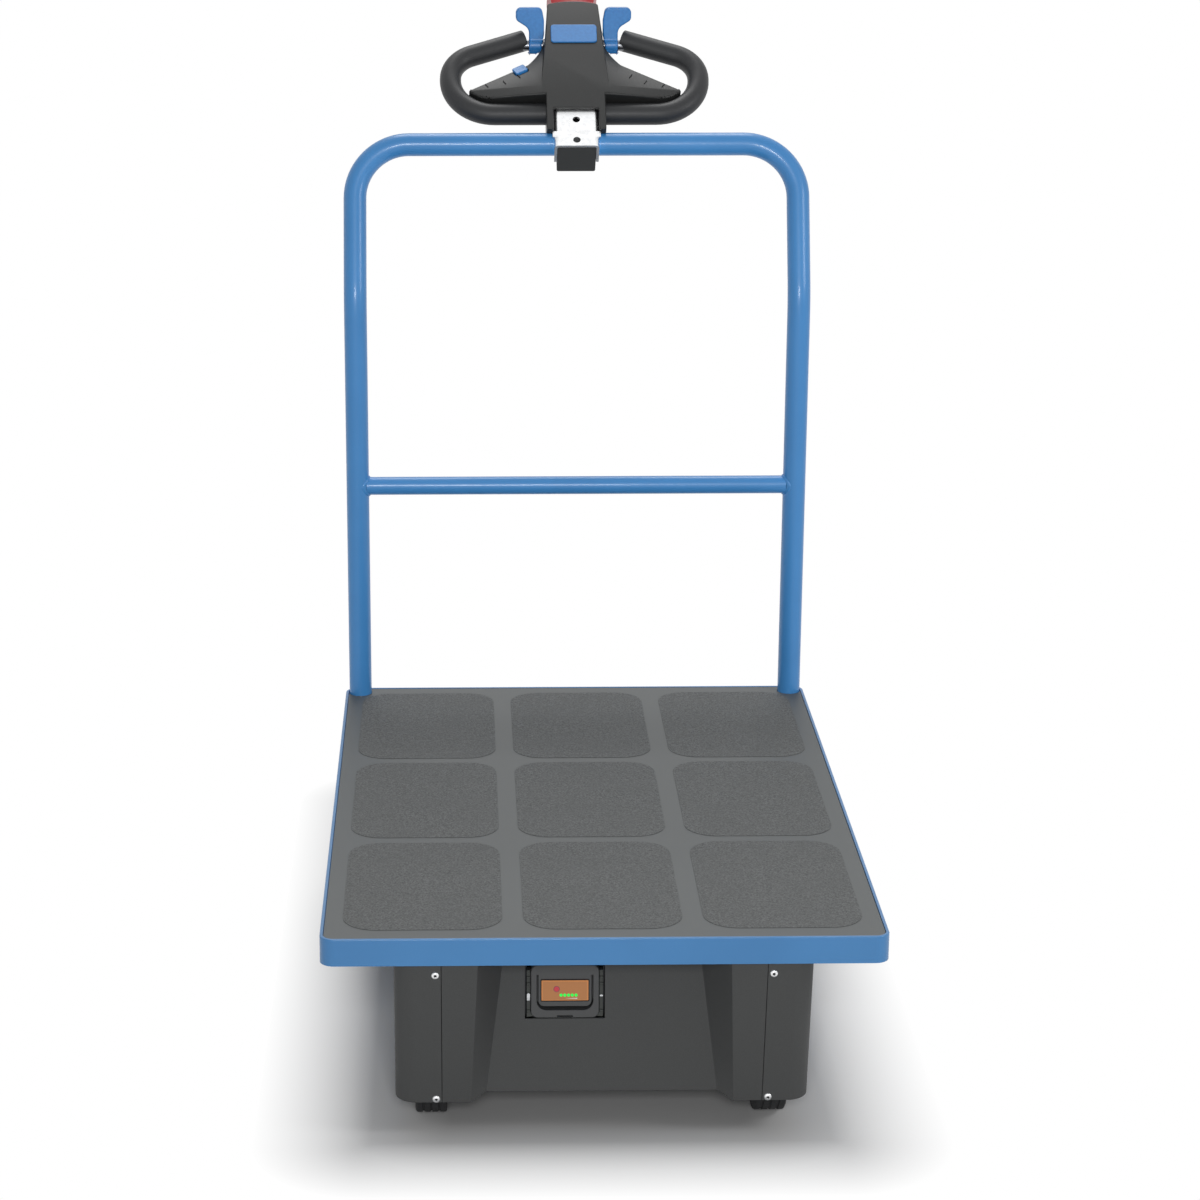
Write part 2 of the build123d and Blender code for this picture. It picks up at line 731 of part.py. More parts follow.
with BuildPart() as housing_block:
    with BuildSketch(Plane.YZ):
        Polygon(
            (front + pod_front(rim_bottom), rim_bottom),
            (front + pod_front(housing_bottom), housing_bottom),
            (front + housing_back, housing_bottom),
            (front + housing_back, rim_bottom),
        )
    extrude(amount=housing_half, both=True)
    fillet(
        housing_block.edges().filter_by(lambda e: abs(e.tangent_at(0.5).Z) > 0.5),
        radius=housing_corner,
    )
    with BuildSketch(Plane.XY.offset(rim_bottom)):
        Polygon(
            (-facet_top_half, front),
            (facet_top_half, front),
            (facet_top_half, front + pod_front(rim_bottom)),
            (panel_top_half, front + panel_front(rim_bottom)),
            (-panel_top_half, front + panel_front(rim_bottom)),
            (-facet_top_half, front + pod_front(rim_bottom)),
        )
    with BuildSketch(Plane.XY.offset(housing_bottom)):
        Polygon(
            (-facet_bottom_half, front),
            (facet_bottom_half, front),
            (facet_bottom_half, front + pod_front(housing_bottom)),
            (panel_bottom_half, front + panel_front(housing_bottom)),
            (-panel_bottom_half, front + panel_front(housing_bottom)),
            (-facet_bottom_half, front + pod_front(housing_bottom)),
        )
    loft(mode=Mode.SUBTRACT)
    with BuildSketch(Plane.XZ.offset(-front)):
        Polygon(
            (-facet_bottom_half, housing_bottom),
            (-panel_bottom_half, panel_bottom),
            (panel_bottom_half, panel_bottom),
            (facet_bottom_half, housing_bottom),
        )
    extrude(amount=-housing_back, mode=Mode.SUBTRACT)

pod_outer = housing_half - housing_wall
with BuildPart() as pod_hollow:
    with BuildSketch(Plane.YZ):
        Polygon(
            (front + pod_front(rim_bottom) + housing_wall, rim_bottom),
            (front + pod_front(housing_bottom) + housing_wall, housing_bottom),
            (front + housing_back - housing_wall, housing_bottom),
            (front + housing_back - housing_wall, rim_bottom),
        )
    extrude(amount=pod_outer, both=True)
    fillet(
        pod_hollow.edges().filter_by(lambda e: abs(e.tangent_at(0.5).Z) > 0.5),
        radius=housing_corner - housing_wall,
    )
    with BuildSketch(Plane.XY.offset(housing_bottom)):
        with Locations((0, front + housing_back / 2)):
            Rectangle(2 * pod_inner, housing_back)
    extrude(amount=rim_bottom - housing_bottom, mode=Mode.SUBTRACT)

facet_inner = pod_inner - housing_wall
panel_back_top = front + panel_front(rim_bottom) + housing_wall
panel_back_bottom = front + panel_front(panel_bottom + housing_wall) + housing_wall
hollow_back = front + housing_back - housing_wall
with BuildPart() as centre_hollow:
    with BuildSketch(Plane.XY.offset(rim_bottom)):
        with Locations((0, (panel_back_top + hollow_back) / 2)):
            Rectangle(2 * facet_inner, hollow_back - panel_back_top)
    with BuildSketch(Plane.XY.offset(panel_bottom + housing_wall)):
        with Locations((0, (panel_back_bottom + hollow_back) / 2)):
            Rectangle(2 * facet_inner, hollow_back - panel_back_bottom)
    loft()

bay_low = battery_bottom - bay_drop
bay_width = battery_width + 2 * bay_side_gap
cover_start = cover_edge + cover_seam / 2
with BuildPart() as drive_housing:
    add(housing_block.part)
    add(pod_hollow.part, mode=Mode.SUBTRACT)
    add(centre_hollow.part, mode=Mode.SUBTRACT)
    with BuildSketch(Plane.XZ.offset(-front)):
        with Locations((battery_x, (bay_low + bay_top) / 2)):
            Rectangle(bay_width, bay_top - bay_low)
    extrude(amount=-housing_back / 2, mode=Mode.SUBTRACT)
    with BuildSketch(Plane.XY.offset(housing_bottom)):
        with Locations((0, front + housing_back / 2)):
            Rectangle(2 * (cover_edge - cover_seam / 2), 2 * housing_back)
    extrude(amount=rim_bottom - housing_bottom, mode=Mode.INTERSECT)
drive_housing.part.label = "drive_housing"
export_step(drive_housing.part, "parts/drive_housing.step")

# Screwed outer covers of the pods
for side, side_name in ((-1, "left"), (1, "right")):
    with BuildPart() as pod_cover:
        add(housing_block.part)
        add(pod_hollow.part, mode=Mode.SUBTRACT)
        with BuildSketch(Plane.XY.offset(housing_bottom)):
            with Locations((side * (cover_start + housing_half) / 2, front + housing_back / 2)):
                Rectangle(housing_half - cover_start, 2 * housing_back)
        extrude(amount=rim_bottom - housing_bottom, mode=Mode.INTERSECT)
    pod_cover.part.label = f"pod_cover_{side_name}"
    export_step(pod_cover.part, f"parts/{pod_cover.part.label}.step")

# Battery tray hung from the front member, the pack and what is on its front
battery_mid_z = battery_bottom + battery_height / 2
tray_half = battery_width / 2 + bay_side_gap - tray_sheet
tray_start = front + panel_top_setback + housing_wall + tray_front_gap
tray_low = battery_bottom - tray_gap - tray_sheet
tray_end = front + housing_back - housing_wall
with BuildPart() as battery_tray:
    with BuildSketch(Plane.XZ.offset(-tray_start)):
        with Locations((battery_x, (tray_low + rim_bottom) / 2)):
            Rectangle(2 * tray_half + 2 * tray_sheet, rim_bottom - tray_low)
        with Locations((battery_x, (tray_low + tray_sheet + rim_bottom) / 2)):
            Rectangle(2 * tray_half, rim_bottom - tray_low - tray_sheet, mode=Mode.SUBTRACT)
    extrude(amount=-(tray_end - tray_start))
battery_tray.part.label = "battery_tray"
export_step(battery_tray.part, "parts/battery_tray.step")

panel_tilt = atan((panel_top_setback - panel_bottom_setback) / (rim_bottom - panel_bottom))
panel_plane = Plane(
    origin=(0, front + panel_top_setback, rim_bottom),
    x_dir=(1, 0, 0),
    z_dir=(0, -cos(panel_tilt), sin(panel_tilt)),
)
pack_face = panel_plane.offset(battery_proud)


def panel_up(level):
    """How far along the panel, up from its top edge, a level lies."""
    return (level - rim_bottom) / cos(panel_tilt)


block_low = battery_bottom + display_low
groove_low = block_low - groove_drop
with BuildPart() as battery_pack:
    with BuildSketch(Plane.XZ.offset(-front)):
        with Locations((battery_x, battery_mid_z)):
            RectangleRounded(battery_width, battery_height, battery_corner)
    extrude(amount=-(panel_top_setback + battery_length))
    split(bisect_by=pack_face, keep=Keep.BOTTOM)
    with BuildSketch(pack_face):
        with Locations((battery_x, panel_up(groove_low + (display_height + groove_drop) / 2))):
            Rectangle(display_width + 2 * groove_width, display_height + groove_drop)
        with Locations((battery_x, panel_up(block_low + display_height / 2))):
            Rectangle(display_width, display_height, mode=Mode.SUBTRACT)
    extrude(amount=-groove_depth, mode=Mode.SUBTRACT)
battery_pack.part.label = "battery_pack"
export_step(battery_pack.part, "parts/battery_pack.step")

with BuildPart() as battery_display:
    with BuildSketch(pack_face):
        with Locations((battery_x, panel_up(battery_bottom + screen_low + screen_height / 2))):
            Rectangle(screen_width, screen_height)
    extrude(amount=screen_rise)
battery_display.part.label = "battery_display"
export_step(battery_display.part, "parts/battery_display.step")

latch_width = tray_half - battery_width / 2 - latch_gap
latch_off = tray_half - latch_width / 2
with BuildPart() as battery_latches:
    with BuildSketch(Plane.XZ.offset(-tray_start)):
        with Locations(
            (battery_x - latch_off, battery_bottom + latch_low + latch_height / 2),
            (battery_x + latch_off, battery_bottom + latch_low + latch_height / 2),
        ):
            Rectangle(latch_width, latch_height)
    extrude(amount=-latch_depth)
battery_latches.part.label = "battery_latches"
export_step(battery_latches.part, "parts/battery_latches.step")

# Driven wheels: fork, fixed axle, hub motor and solid tyre
drive_y = front + front_member_y
drive_z = drive_wheel / 2
fork_inner = drive_tread / 2 + fork_wheel_gap
fork_outer = fork_inner + fork_plate
fork_half = fork_boss / 2 + fork_splay
drive_hub_face = drive_hub_width / 2 + drive_cap_rise
for side, side_name in ((-1, "left"), (1, "right")):
    wheel_x = side * drive_x
    wheel_plane = Plane(origin=(wheel_x, drive_y, drive_z), x_dir=(0, 1, 0), z_dir=(1, 0, 0))
    with BuildPart() as drive_fork:
        with BuildSketch(wheel_plane):
            Polygon(
                (-fork_half, rim_bottom - drive_z),
                (-fork_boss / 2, 0),
                (fork_boss / 2, 0),
                (fork_half, rim_bottom - drive_z),
            )
            Circle(fork_boss / 2)
        extrude(amount=fork_outer, both=True)
        with BuildSketch(Plane.YZ.offset(wheel_x)):
            with Locations((drive_y, (rim_bottom - fork_crown) / 2)):
                Rectangle(4 * fork_half, rim_bottom - fork_crown)
        extrude(amount=fork_inner, both=True, mode=Mode.SUBTRACT)
        with BuildSketch(wheel_plane):
            Circle(drive_axle / 2)
        extrude(amount=fork_outer, both=True, mode=Mode.SUBTRACT)
    drive_fork.part.label = f"drive_fork_{side_name}"
    export_step(drive_fork.part, f"parts/{drive_fork.part.label}.step")

    with BuildPart() as drive_axle_rod:
        with BuildSketch(wheel_plane):
            Circle(drive_axle / 2)
        extrude(amount=fork_outer + drive_axle_overhang, both=True)
    drive_axle_rod.part.label = f"drive_axle_{side_name}"
    export_step(drive_axle_rod.part, f"parts/{drive_axle_rod.part.label}.step")

    spin_axis = Axis((wheel_x, drive_y, drive_z), (1, 0, 0))
    section = Plane(origin=(wheel_x, drive_y, drive_z), x_dir=(1, 0, 0), z_dir=(0, -1, 0))
    with BuildPart() as drive_tyre:
        with BuildSketch(section):
            Polygon(
                (-drive_tread / 2, drive_hub / 2),
                (tyre_shoulder - drive_tread / 2, drive_wheel / 2),
                (drive_tread / 2 - tyre_shoulder, drive_wheel / 2),
                (drive_tread / 2, drive_hub / 2),
            )
        revolve(axis=spin_axis)
    drive_tyre.part.label = f"drive_tyre_{side_name}"
    export_step(drive_tyre.part, f"parts/{drive_tyre.part.label}.step")

    with BuildPart() as drive_motor:
        with BuildSketch(section):
            Polygon(
                (-drive_hub_width / 2, drive_hub / 2),
                (-drive_hub_width / 2, drive_cap / 2),
                (-drive_hub_face, drive_cap / 2 - drive_cap_rise),
                (-drive_hub_face, drive_axle / 2 + running_gap),
                (drive_hub_face, drive_axle / 2 + running_gap),
                (drive_hub_face, drive_cap / 2 - drive_cap_rise),
                (drive_hub_width / 2, drive_cap / 2),
                (drive_hub_width / 2, drive_hub / 2),
            )
        revolve(axis=spin_axis)
    drive_motor.part.label = f"drive_motor_{side_name}"
    export_step(drive_motor.part, f"parts/{drive_motor.part.label}.step")

# Swivel castors: plate with king pin, fork, axle bolt, hub, tyre and brake pedal, trailing to the handle end
castor_y = front + castor_member_y
plate_bottom = castor_top - castor_plate
race_top = plate_bottom - castor_race_gap
race_bottom = race_top - castor_race_depth
castor_z = castor_wheel / 2
leg_inner = castor_hub_width / 2 + castor_leg_gap
leg_outer = leg_inner + castor_leg
web_middle = (castor_hub / 2 - castor_web + castor_boss / 2 + castor_leg) / 2
for side, side_name in ((-1, "left"), (1, "right")):
    swivel_x = side * castor_x
    with BuildPart() as castor_top_plate:
        with BuildSketch(Plane.XY.offset(plate_bottom)):
            with Locations((swivel_x, castor_y)):
                RectangleRounded(castor_plate_width, castor_plate_length, castor_plate_corner)
                with GridLocations(castor_bolt_x, castor_bolt_y, 2, 2):
                    Circle(castor_bolt_hole / 2, mode=Mode.SUBTRACT)
        extrude(amount=castor_plate)
        with BuildSketch(Plane.XY.offset(race_bottom - king_gap)):
            with Locations((swivel_x, castor_y)):
                Circle(king_pin / 2)
        extrude(amount=plate_bottom - race_bottom + king_gap)
        with BuildSketch(Plane.XY.offset(race_bottom - king_gap - king_head_depth)):
            with Locations((swivel_x, castor_y)):
                RegularPolygon(king_head / 2, 6)
        extrude(amount=king_head_depth)
    castor_top_plate.part.label = f"castor_plate_{side_name}"
    export_step(castor_top_plate.part, f"parts/{castor_top_plate.part.label}.step")

    axle_plane = Plane(origin=(swivel_x, castor_y, castor_z), x_dir=(0, 1, 0), z_dir=(1, 0, 0))
    with BuildPart() as castor_fork:
        with BuildSketch(axle_plane):
            Polygon(
                (-castor_leg_front, race_bottom - castor_z + castor_leg),
                (-castor_leg_front, race_bottom - castor_z),
                (castor_trail - castor_boss_side / 2, 0),
                (castor_trail + castor_boss_side / 2, 0),
                (castor_leg_back, race_bottom - castor_z),
                (castor_leg_back, race_bottom - castor_z + castor_leg),
            )
            with Locations((castor_trail, 0)):
                Circle(castor_boss_side / 2)
        extrude(amount=leg_outer, both=True)
        with BuildSketch(axle_plane):
            with Locations((castor_trail, (race_bottom - 2 * castor_z) / 2)):
                Rectangle(castor_wheel, race_bottom)
        extrude(amount=leg_inner, both=True, mode=Mode.SUBTRACT)
        with BuildSketch(axle_plane):
            with Locations((castor_trail, 0)):
                Circle(castor_axle / 2)
            with Locations((castor_leg_back - pedal_pin, race_bottom - castor_z - pedal_drop)):
                Circle(pedal_pin / 2)
        extrude(amount=leg_outer, both=True, mode=Mode.SUBTRACT)
        with BuildSketch(Plane.XY.offset(race_bottom)):
            with Locations((swivel_x, castor_y)):
                Circle(castor_race / 2)
        extrude(amount=castor_race_depth)
        chamfer(castor_fork.edges().group_by(Axis.Z)[-1], length=castor_race_chamfer)
        with BuildSketch(Plane.XY.offset(race_bottom)):
            with Locations((swivel_x, castor_y)):
                Circle(king_pin / 2 + running_gap)
        extrude(amount=castor_race_depth, mode=Mode.SUBTRACT)
    castor_fork.part.label = f"castor_fork_{side_name}"
    export_step(castor_fork.part, f"parts/{castor_fork.part.label}.step")

    with BuildPart() as castor_bolt:
        with BuildSketch(axle_plane):
            with Locations((castor_trail, 0)):
                Circle(castor_axle / 2)
        extrude(amount=leg_outer + castor_bolt_cap, both=True)
        for end in (-1, 1):
            with BuildSketch(axle_plane.offset(end * leg_outer)):
                with Locations((castor_trail, 0)):
                    RegularPolygon(castor_bolt_head / 2, 6)
            extrude(amount=end * castor_bolt_cap)
    castor_bolt.part.label = f"castor_axle_{side_name}"
    export_step(castor_bolt.part, f"parts/{castor_bolt.part.label}.step")

    with BuildPart() as brake_pedal:
        with BuildSketch(axle_plane):
            Polygon(
                (castor_leg_back - pedal_pin, race_bottom - castor_z - pedal_drop - pedal_pin / 2),
                (pedal_reach - pedal_thickness, race_bottom - castor_z - pedal_tip_drop),
                (pedal_reach, race_bottom - castor_z - pedal_tip_drop + pedal_thickness),
                (castor_leg_back + pedal_pin, race_bottom - castor_z + pedal_pin / 2 - pedal_drop),
                (castor_leg_back - pedal_pin, race_bottom - castor_z + pedal_pin / 2 - pedal_drop),
            )
        extrude(amount=pedal_width / 2, both=True)
        with BuildSketch(axle_plane):
            with Locations((castor_leg_back - pedal_pin, race_bottom - castor_z - pedal_drop)):
                Circle(pedal_pin / 2)
        extrude(amount=leg_outer, both=True)
    brake_pedal.part.label = f"brake_pedal_{side_name}"
    export_step(brake_pedal.part, f"parts/{brake_pedal.part.label}.step")

    wheel_y = castor_y + castor_trail
    castor_axis = Axis((swivel_x, wheel_y, castor_z), (1, 0, 0))
    castor_section = Plane(origin=(swivel_x, wheel_y, castor_z), x_dir=(1, 0, 0), z_dir=(0, -1, 0))
    with BuildPart() as castor_tyre:
        with BuildSketch(castor_section):
            Polygon(
                (-castor_tread / 2, castor_hub / 2),
                (tyre_shoulder - castor_tread / 2, castor_wheel / 2),
                (castor_tread / 2 - tyre_shoulder, castor_wheel / 2),
                (castor_tread / 2, castor_hub / 2),
            )
        revolve(axis=castor_axis)
    castor_tyre.part.label = f"castor_tyre_{side_name}"
    export_step(castor_tyre.part, f"parts/{castor_tyre.part.label}.step")

    with BuildPart() as castor_hub_disc:
        with BuildSketch(castor_section):
            for end in (-1, 1):
                Polygon(
                    (0, castor_hub / 2),
                    (0, castor_axle / 2 + running_gap),
                    (end * castor_hub_width / 2, castor_axle / 2 + running_gap),
                    (end * castor_hub_width / 2, castor_boss / 2),
                    (end * castor_web / 2, castor_boss / 2 + castor_leg),
                    (end * castor_web / 2, castor_hub / 2 - castor_web),
                    (end * castor_tread / 2, castor_hub / 2 - castor_leg),
                    (end * castor_tread / 2, castor_hub / 2),
                )
        revolve(axis=castor_axis)
        with BuildSketch(axle_plane):
            with Locations((castor_trail, 0)):
                with PolarLocations(web_middle, castor_web_holes):
                    Circle(castor_web_hole / 2)
        extrude(amount=castor_web, both=True, mode=Mode.SUBTRACT)
    castor_hub_disc.part.label = f"castor_hub_{side_name}"
    export_step(castor_hub_disc.part, f"parts/{castor_hub_disc.part.label}.step")
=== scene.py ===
from math import cos, pi, radians, sin, tan

import bmesh
import bpy
from mathutils import Matrix, Vector


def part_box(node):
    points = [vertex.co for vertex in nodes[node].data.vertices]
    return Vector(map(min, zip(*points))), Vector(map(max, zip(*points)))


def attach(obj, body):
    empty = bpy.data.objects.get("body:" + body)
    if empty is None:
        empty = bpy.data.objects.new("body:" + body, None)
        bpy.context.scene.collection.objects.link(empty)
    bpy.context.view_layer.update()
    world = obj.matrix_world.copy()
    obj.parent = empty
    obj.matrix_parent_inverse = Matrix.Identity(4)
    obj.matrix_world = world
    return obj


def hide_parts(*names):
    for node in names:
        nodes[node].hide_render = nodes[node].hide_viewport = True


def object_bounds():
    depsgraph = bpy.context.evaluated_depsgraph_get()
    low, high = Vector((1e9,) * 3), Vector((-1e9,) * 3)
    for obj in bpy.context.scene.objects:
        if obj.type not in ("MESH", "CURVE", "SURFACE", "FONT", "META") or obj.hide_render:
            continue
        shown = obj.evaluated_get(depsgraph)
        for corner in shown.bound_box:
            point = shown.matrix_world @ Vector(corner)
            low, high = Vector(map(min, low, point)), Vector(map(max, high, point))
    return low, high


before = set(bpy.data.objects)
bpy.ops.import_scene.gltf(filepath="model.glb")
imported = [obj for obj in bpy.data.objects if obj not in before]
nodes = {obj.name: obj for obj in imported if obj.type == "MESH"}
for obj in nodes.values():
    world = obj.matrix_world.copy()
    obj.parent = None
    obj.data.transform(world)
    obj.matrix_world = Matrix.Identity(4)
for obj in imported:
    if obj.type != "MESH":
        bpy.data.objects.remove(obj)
cad_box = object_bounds()

# Deck pan: a pressed and welded steel pan with a 35 mm rim. It is powder coated in blue, which leaves a
# smooth skin with a faint orange peel and a soft highlight along each rounded edge.
PAN_BLUE = ("#4285C0", "#3E80BA")
COAT_PEEL = 0.0035
COAT_CLOUD = 0.12


def linear(code):
    """Linear colour of an sRGB hex code."""
    parts = [int(code[i:i + 2], 16) / 255 for i in (1, 3, 5)]
    return [c / 12.92 if c <= 0.04045 else ((c + 0.055) / 1.055) ** 2.4 for c in parts] + [1.0]


def add(tree, kind, inputs=None, **settings):
    """Adds a shader node, sets its properties, and sets or links its inputs."""
    made = tree.nodes.new("ShaderNode" + kind)
    for name, value in settings.items():
        setattr(made, name, value)
    for name, value in (inputs or {}).items():
        if isinstance(value, bpy.types.NodeSocket):
            tree.links.new(value, made.inputs[name])
        else:
            made.inputs[name].default_value = value
    return made


def new_finish(name, **fixed):
    """A material with its shader's fixed values set, its node tree, and the object's own coordinates."""
    material = bpy.data.materials.new(name)
    material.use_nodes = True
    tree = material.node_tree
    shader = tree.nodes["Principled BSDF"]
    for socket, value in fixed.items():
        shader.inputs[socket.replace("_", " ")].default_value = value
    place = add(tree, "TexCoord").outputs["Object"]
    return material, tree, shader, place


def grain(tree, place, size, detail=3.0, rough=0.5):
    """Noise whose patches are about size metres across."""
    inputs = {"Vector": place, "Scale": 1 / size, "Detail": detail, "Roughness": rough}
    return add(tree, "TexNoise", inputs).outputs["Fac"]


def spread(tree, value, low, high, start=0.35, end=0.65):
    """Stretches a noise value between two others."""
    inputs = {"Value": value, "From Min": start, "From Max": end, "To Min": low, "To Max": high}
    return add(tree, "MapRange", inputs).outputs["Result"]


def blend_colours(tree, share, first, second):
    """Mixes two colours, each a hex code or a socket."""
    mix = add(tree, "Mix", data_type="RGBA")
    tree.links.new(share, mix.inputs["Factor"])
    for index, value in ((6, first), (7, second)):
        if isinstance(value, str):
            mix.inputs[index].default_value = linear(value)
        else:
            tree.links.new(value, mix.inputs[index])
    return mix.outputs[2]


def join_bump(tree, shader, height, distance, strength=1.0):
    """Gives the shader a bump of that height in metres."""
    inputs = {"Height": height, "Distance": distance, "Strength": strength}
    tree.links.new(add(tree, "Bump", inputs).outputs["Normal"], shader.inputs["Normal"])


def link(tree, value, shader, socket):
    tree.links.new(value, shader.inputs[socket])


def paint_node(name, material):
    """Gives a CAD node its finish."""
    made = nodes[name]
    made.data.materials.clear()
    made.data.materials.append(material)


def powder_coat(name, blues):
    """A blue powder coat, slightly clouded and with a fine peel."""
    material, tree, shader, place = new_finish(name, Coat_Weight=0.25, Coat_Roughness=0.12)
    peel = grain(tree, place, COAT_PEEL, detail=2.0)
    cloud = grain(tree, place, COAT_CLOUD)
    link(tree, blend_colours(tree, spread(tree, cloud, 0.0, 1.0), *blues), shader, "Base Color")
    link(tree, spread(tree, peel, 0.36, 0.44), shader, "Roughness")
    join_bump(tree, shader, peel, 0.00008)
    return material


paint_node("deck_pan", powder_coat("Powder_coated_pan", PAN_BLUE))

# Deck board: one moulded plastic sheet that lies in the pan. Its lanes are smooth and slightly glossy, and
# its nine fields stand 0.6 mm proud with a coarse, sandy grit that makes them a little darker and dull.
LANE_GREY = "#656868"
FIELD_DARK = "#555757"
FIELD_PALE = "#868888"
GRIT = 0.0022
BOARD_CLOUD = 0.06
LANE_GRAIN = 0.0012
LANE_BUMP_SHARE = 0.08
BOARD_BUMP = 0.0006
FIELD_RISE = 0.0006
FIELD_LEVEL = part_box("deck_board")[1].z - FIELD_RISE / 2

board, tree, shader, place = new_finish("Moulded_anti_slip_board", Specular_IOR_Level=0.32)
height = add(tree, "SeparateXYZ", {"Vector": place}).outputs["Z"]
on_field = add(tree, "Math", {0: height, 1: FIELD_LEVEL}, operation="GREATER_THAN").outputs["Value"]
fine = grain(tree, place, GRIT, detail=4.0, rough=0.7)
broad = grain(tree, place, BOARD_CLOUD)
speckle = blend_colours(tree, spread(tree, fine, 0.0, 1.0), FIELD_DARK, FIELD_PALE)
worn = blend_colours(tree, spread(tree, broad, 0.0, 0.35), speckle, "#6D6F6F")
link(tree, blend_colours(tree, on_field, LANE_GREY, worn), shader, "Base Color")
link(tree, spread(tree, on_field, 0.50, 0.85, 0.0, 1.0), shader, "Roughness")
lane_grain = grain(tree, place, LANE_GRAIN)
grit_height = add(tree, "Math", {0: fine, 1: on_field}, operation="MULTIPLY").outputs["Value"]
lane_share = {0: lane_grain, 1: LANE_BUMP_SHARE}
lane_height = add(tree, "Math", lane_share, operation="MULTIPLY").outputs["Value"]
both = add(tree, "Math", {0: grit_height, 1: lane_height}, operation="ADD").outputs["Value"]
join_bump(tree, shader, both, BOARD_BUMP)
paint_node("deck_board", board)

# Chassis under the pan: box-section cross members, side rails with the castors' pads, and the foot plates of
# the handle, all of mild steel in satin black paint whose tone and sheen vary a little in patches.
PAINT_BLACK = "#24262A"

chassis_paint, tree, shader, place = new_finish("Satin_black_chassis_paint")
brush = grain(tree, place, 0.02)
link(tree, blend_colours(tree, spread(tree, brush, 0.0, 1.0), PAINT_BLACK, "#2E3034"), shader, "Base Color")
link(tree, spread(tree, brush, 0.42, 0.55), shader, "Roughness")
join_bump(tree, shader, grain(tree, place, 0.003), 0.0001)

# Handle hoop: one 33.7 mm steel tube, bent back by 20 degrees at its top and powder coated in the pan's
# blue, painted a little lighter here as painted light for the light the tubes catch. It passes through the
# pan onto the foot plates and is welded there.
# Painted light: the tubes' blue is the pan's paint made a little lighter, for the light they catch.
TUBE_BLUE_PAINTED_LIGHTER = ("#4492D6", "#408DD0")
TUBE = 0.0337
LEAN = radians(20)
LEAN_BEND = 0.150
TOP_BEND = 0.080
TUBE_SIDES = 48
LEAN_STEPS = 8
TOP_STEPS = 20

hoop_low, hoop_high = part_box("handle_hoop")
upright_x = hoop_high.x - TUBE / 2
upright_y = hoop_low.y + TUBE / 2
bar_y = hoop_high.y - TUBE / 2
bar_z = hoop_high.z - TUBE / 2
bend_z = bar_z - (bar_y - upright_y) / tan(LEAN)


def new_piece(name, bm, material, body, replaced=(), smooth=40, weld=1e-6):
    """A finished piece on a body from a bmesh, with outward faces, shaded smooth between its sharp edges."""
    bmesh.ops.remove_doubles(bm, verts=bm.verts, dist=weld)
    bmesh.ops.recalc_face_normals(bm, faces=bm.faces)
    mesh = bpy.data.meshes.new(name)
    bm.to_mesh(mesh)
    bm.free()
    mesh.shade_smooth()
    mesh.set_sharp_from_angle(angle=radians(smooth))
    mesh.materials.append(material)
    piece = bpy.data.objects.new(name, mesh)
    bpy.context.scene.collection.objects.link(piece)
    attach(piece, body)
    if replaced:
        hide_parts(*replaced)
    return piece


def ring(bm, centre, direction, radius, sides):
    """A circle of edges across a direction."""
    turn = Vector(direction).to_track_quat("Z", "Y").to_matrix().to_4x4()
    place = Matrix.Translation(centre) @ turn
    made = bmesh.ops.create_circle(bm, radius=radius, segments=sides, matrix=place)
    return list({e for v in made["verts"] for e in v.link_edges})


def carry_on(bm, edges, step):
    """Extrudes a ring of edges along a straight step."""
    grown = bmesh.ops.extrude_edge_only(bm, edges=edges)["geom"]
    verts = [g for g in grown if isinstance(g, bmesh.types.BMVert)]
    bmesh.ops.translate(bm, verts=verts, vec=step)
    return [g for g in grown if isinstance(g, bmesh.types.BMEdge)]


def bend_on(bm, edges, pivot, axis, angle, steps):
    """Spins a ring of edges round a pivot."""
    turned = bmesh.ops.spin(
        bm, geom=edges, cent=pivot, axis=axis, angle=angle, steps=steps, use_duplicate=False
    )
    return [g for g in turned["geom_last"] if isinstance(g, bmesh.types.BMEdge)]


tube_coat_painted_lighter = powder_coat("Powder_coat_painted_lighter", TUBE_BLUE_PAINTED_LIGHTER)
lean_way = Vector((0, sin(LEAN), cos(LEAN)))
lean_tangent = LEAN_BEND * tan(LEAN / 2)
lean_start = Vector((-upright_x, upright_y, bend_z - lean_tangent))
lean_pivot = lean_start + Vector((0, LEAN_BEND, 0))
top_corner = Vector((-upright_x, bar_y, bar_z))
top_start = top_corner - lean_way * TOP_BEND
top_pivot = top_start + Vector((TOP_BEND, 0, 0))
bm = bmesh.new()
end = ring(bm, (-upright_x, upright_y, hoop_low.z), (0, 0, 1), TUBE / 2, TUBE_SIDES)
end = carry_on(bm, end, (0, 0, lean_start.z - hoop_low.z))
end = bend_on(bm, end, lean_pivot, (-1, 0, 0), LEAN, LEAN_STEPS)
lean_end = lean_pivot + Matrix.Rotation(-LEAN, 3, "X") @ Vector((0, -LEAN_BEND, 0))
end = carry_on(bm, end, top_start - lean_end)
end = bend_on(bm, end, top_pivot, Vector((1, 0, 0)).cross(lean_way), -pi / 2, TOP_STEPS)
end = carry_on(bm, end, (upright_x - TOP_BEND, 0, 0))
half = bm.verts[:] + bm.edges[:] + bm.faces[:]
bmesh.ops.mirror(bm, geom=half, axis="X", merge_dist=-1)
new_piece("Handle_tube", bm, tube_coat_painted_lighter, "frame", ["handle_hoop"])

# Crossbar: a thinner 26.9 mm tube, its ends saddled to the uprights and closed with a thin weld bead that the
# powder coat covers.
BAR_TUBE = 0.0269
BEAD = 0.0022
BEAD_SIDES = 10

bar_low, bar_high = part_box("handle_crossbar")
crossbar_z = (bar_low.z + bar_high.z) / 2


def saddle(off):
    """How far from the upright's axis its wall lies at that distance off the middle."""
    return (TUBE**2 / 4 - off**2) ** 0.5


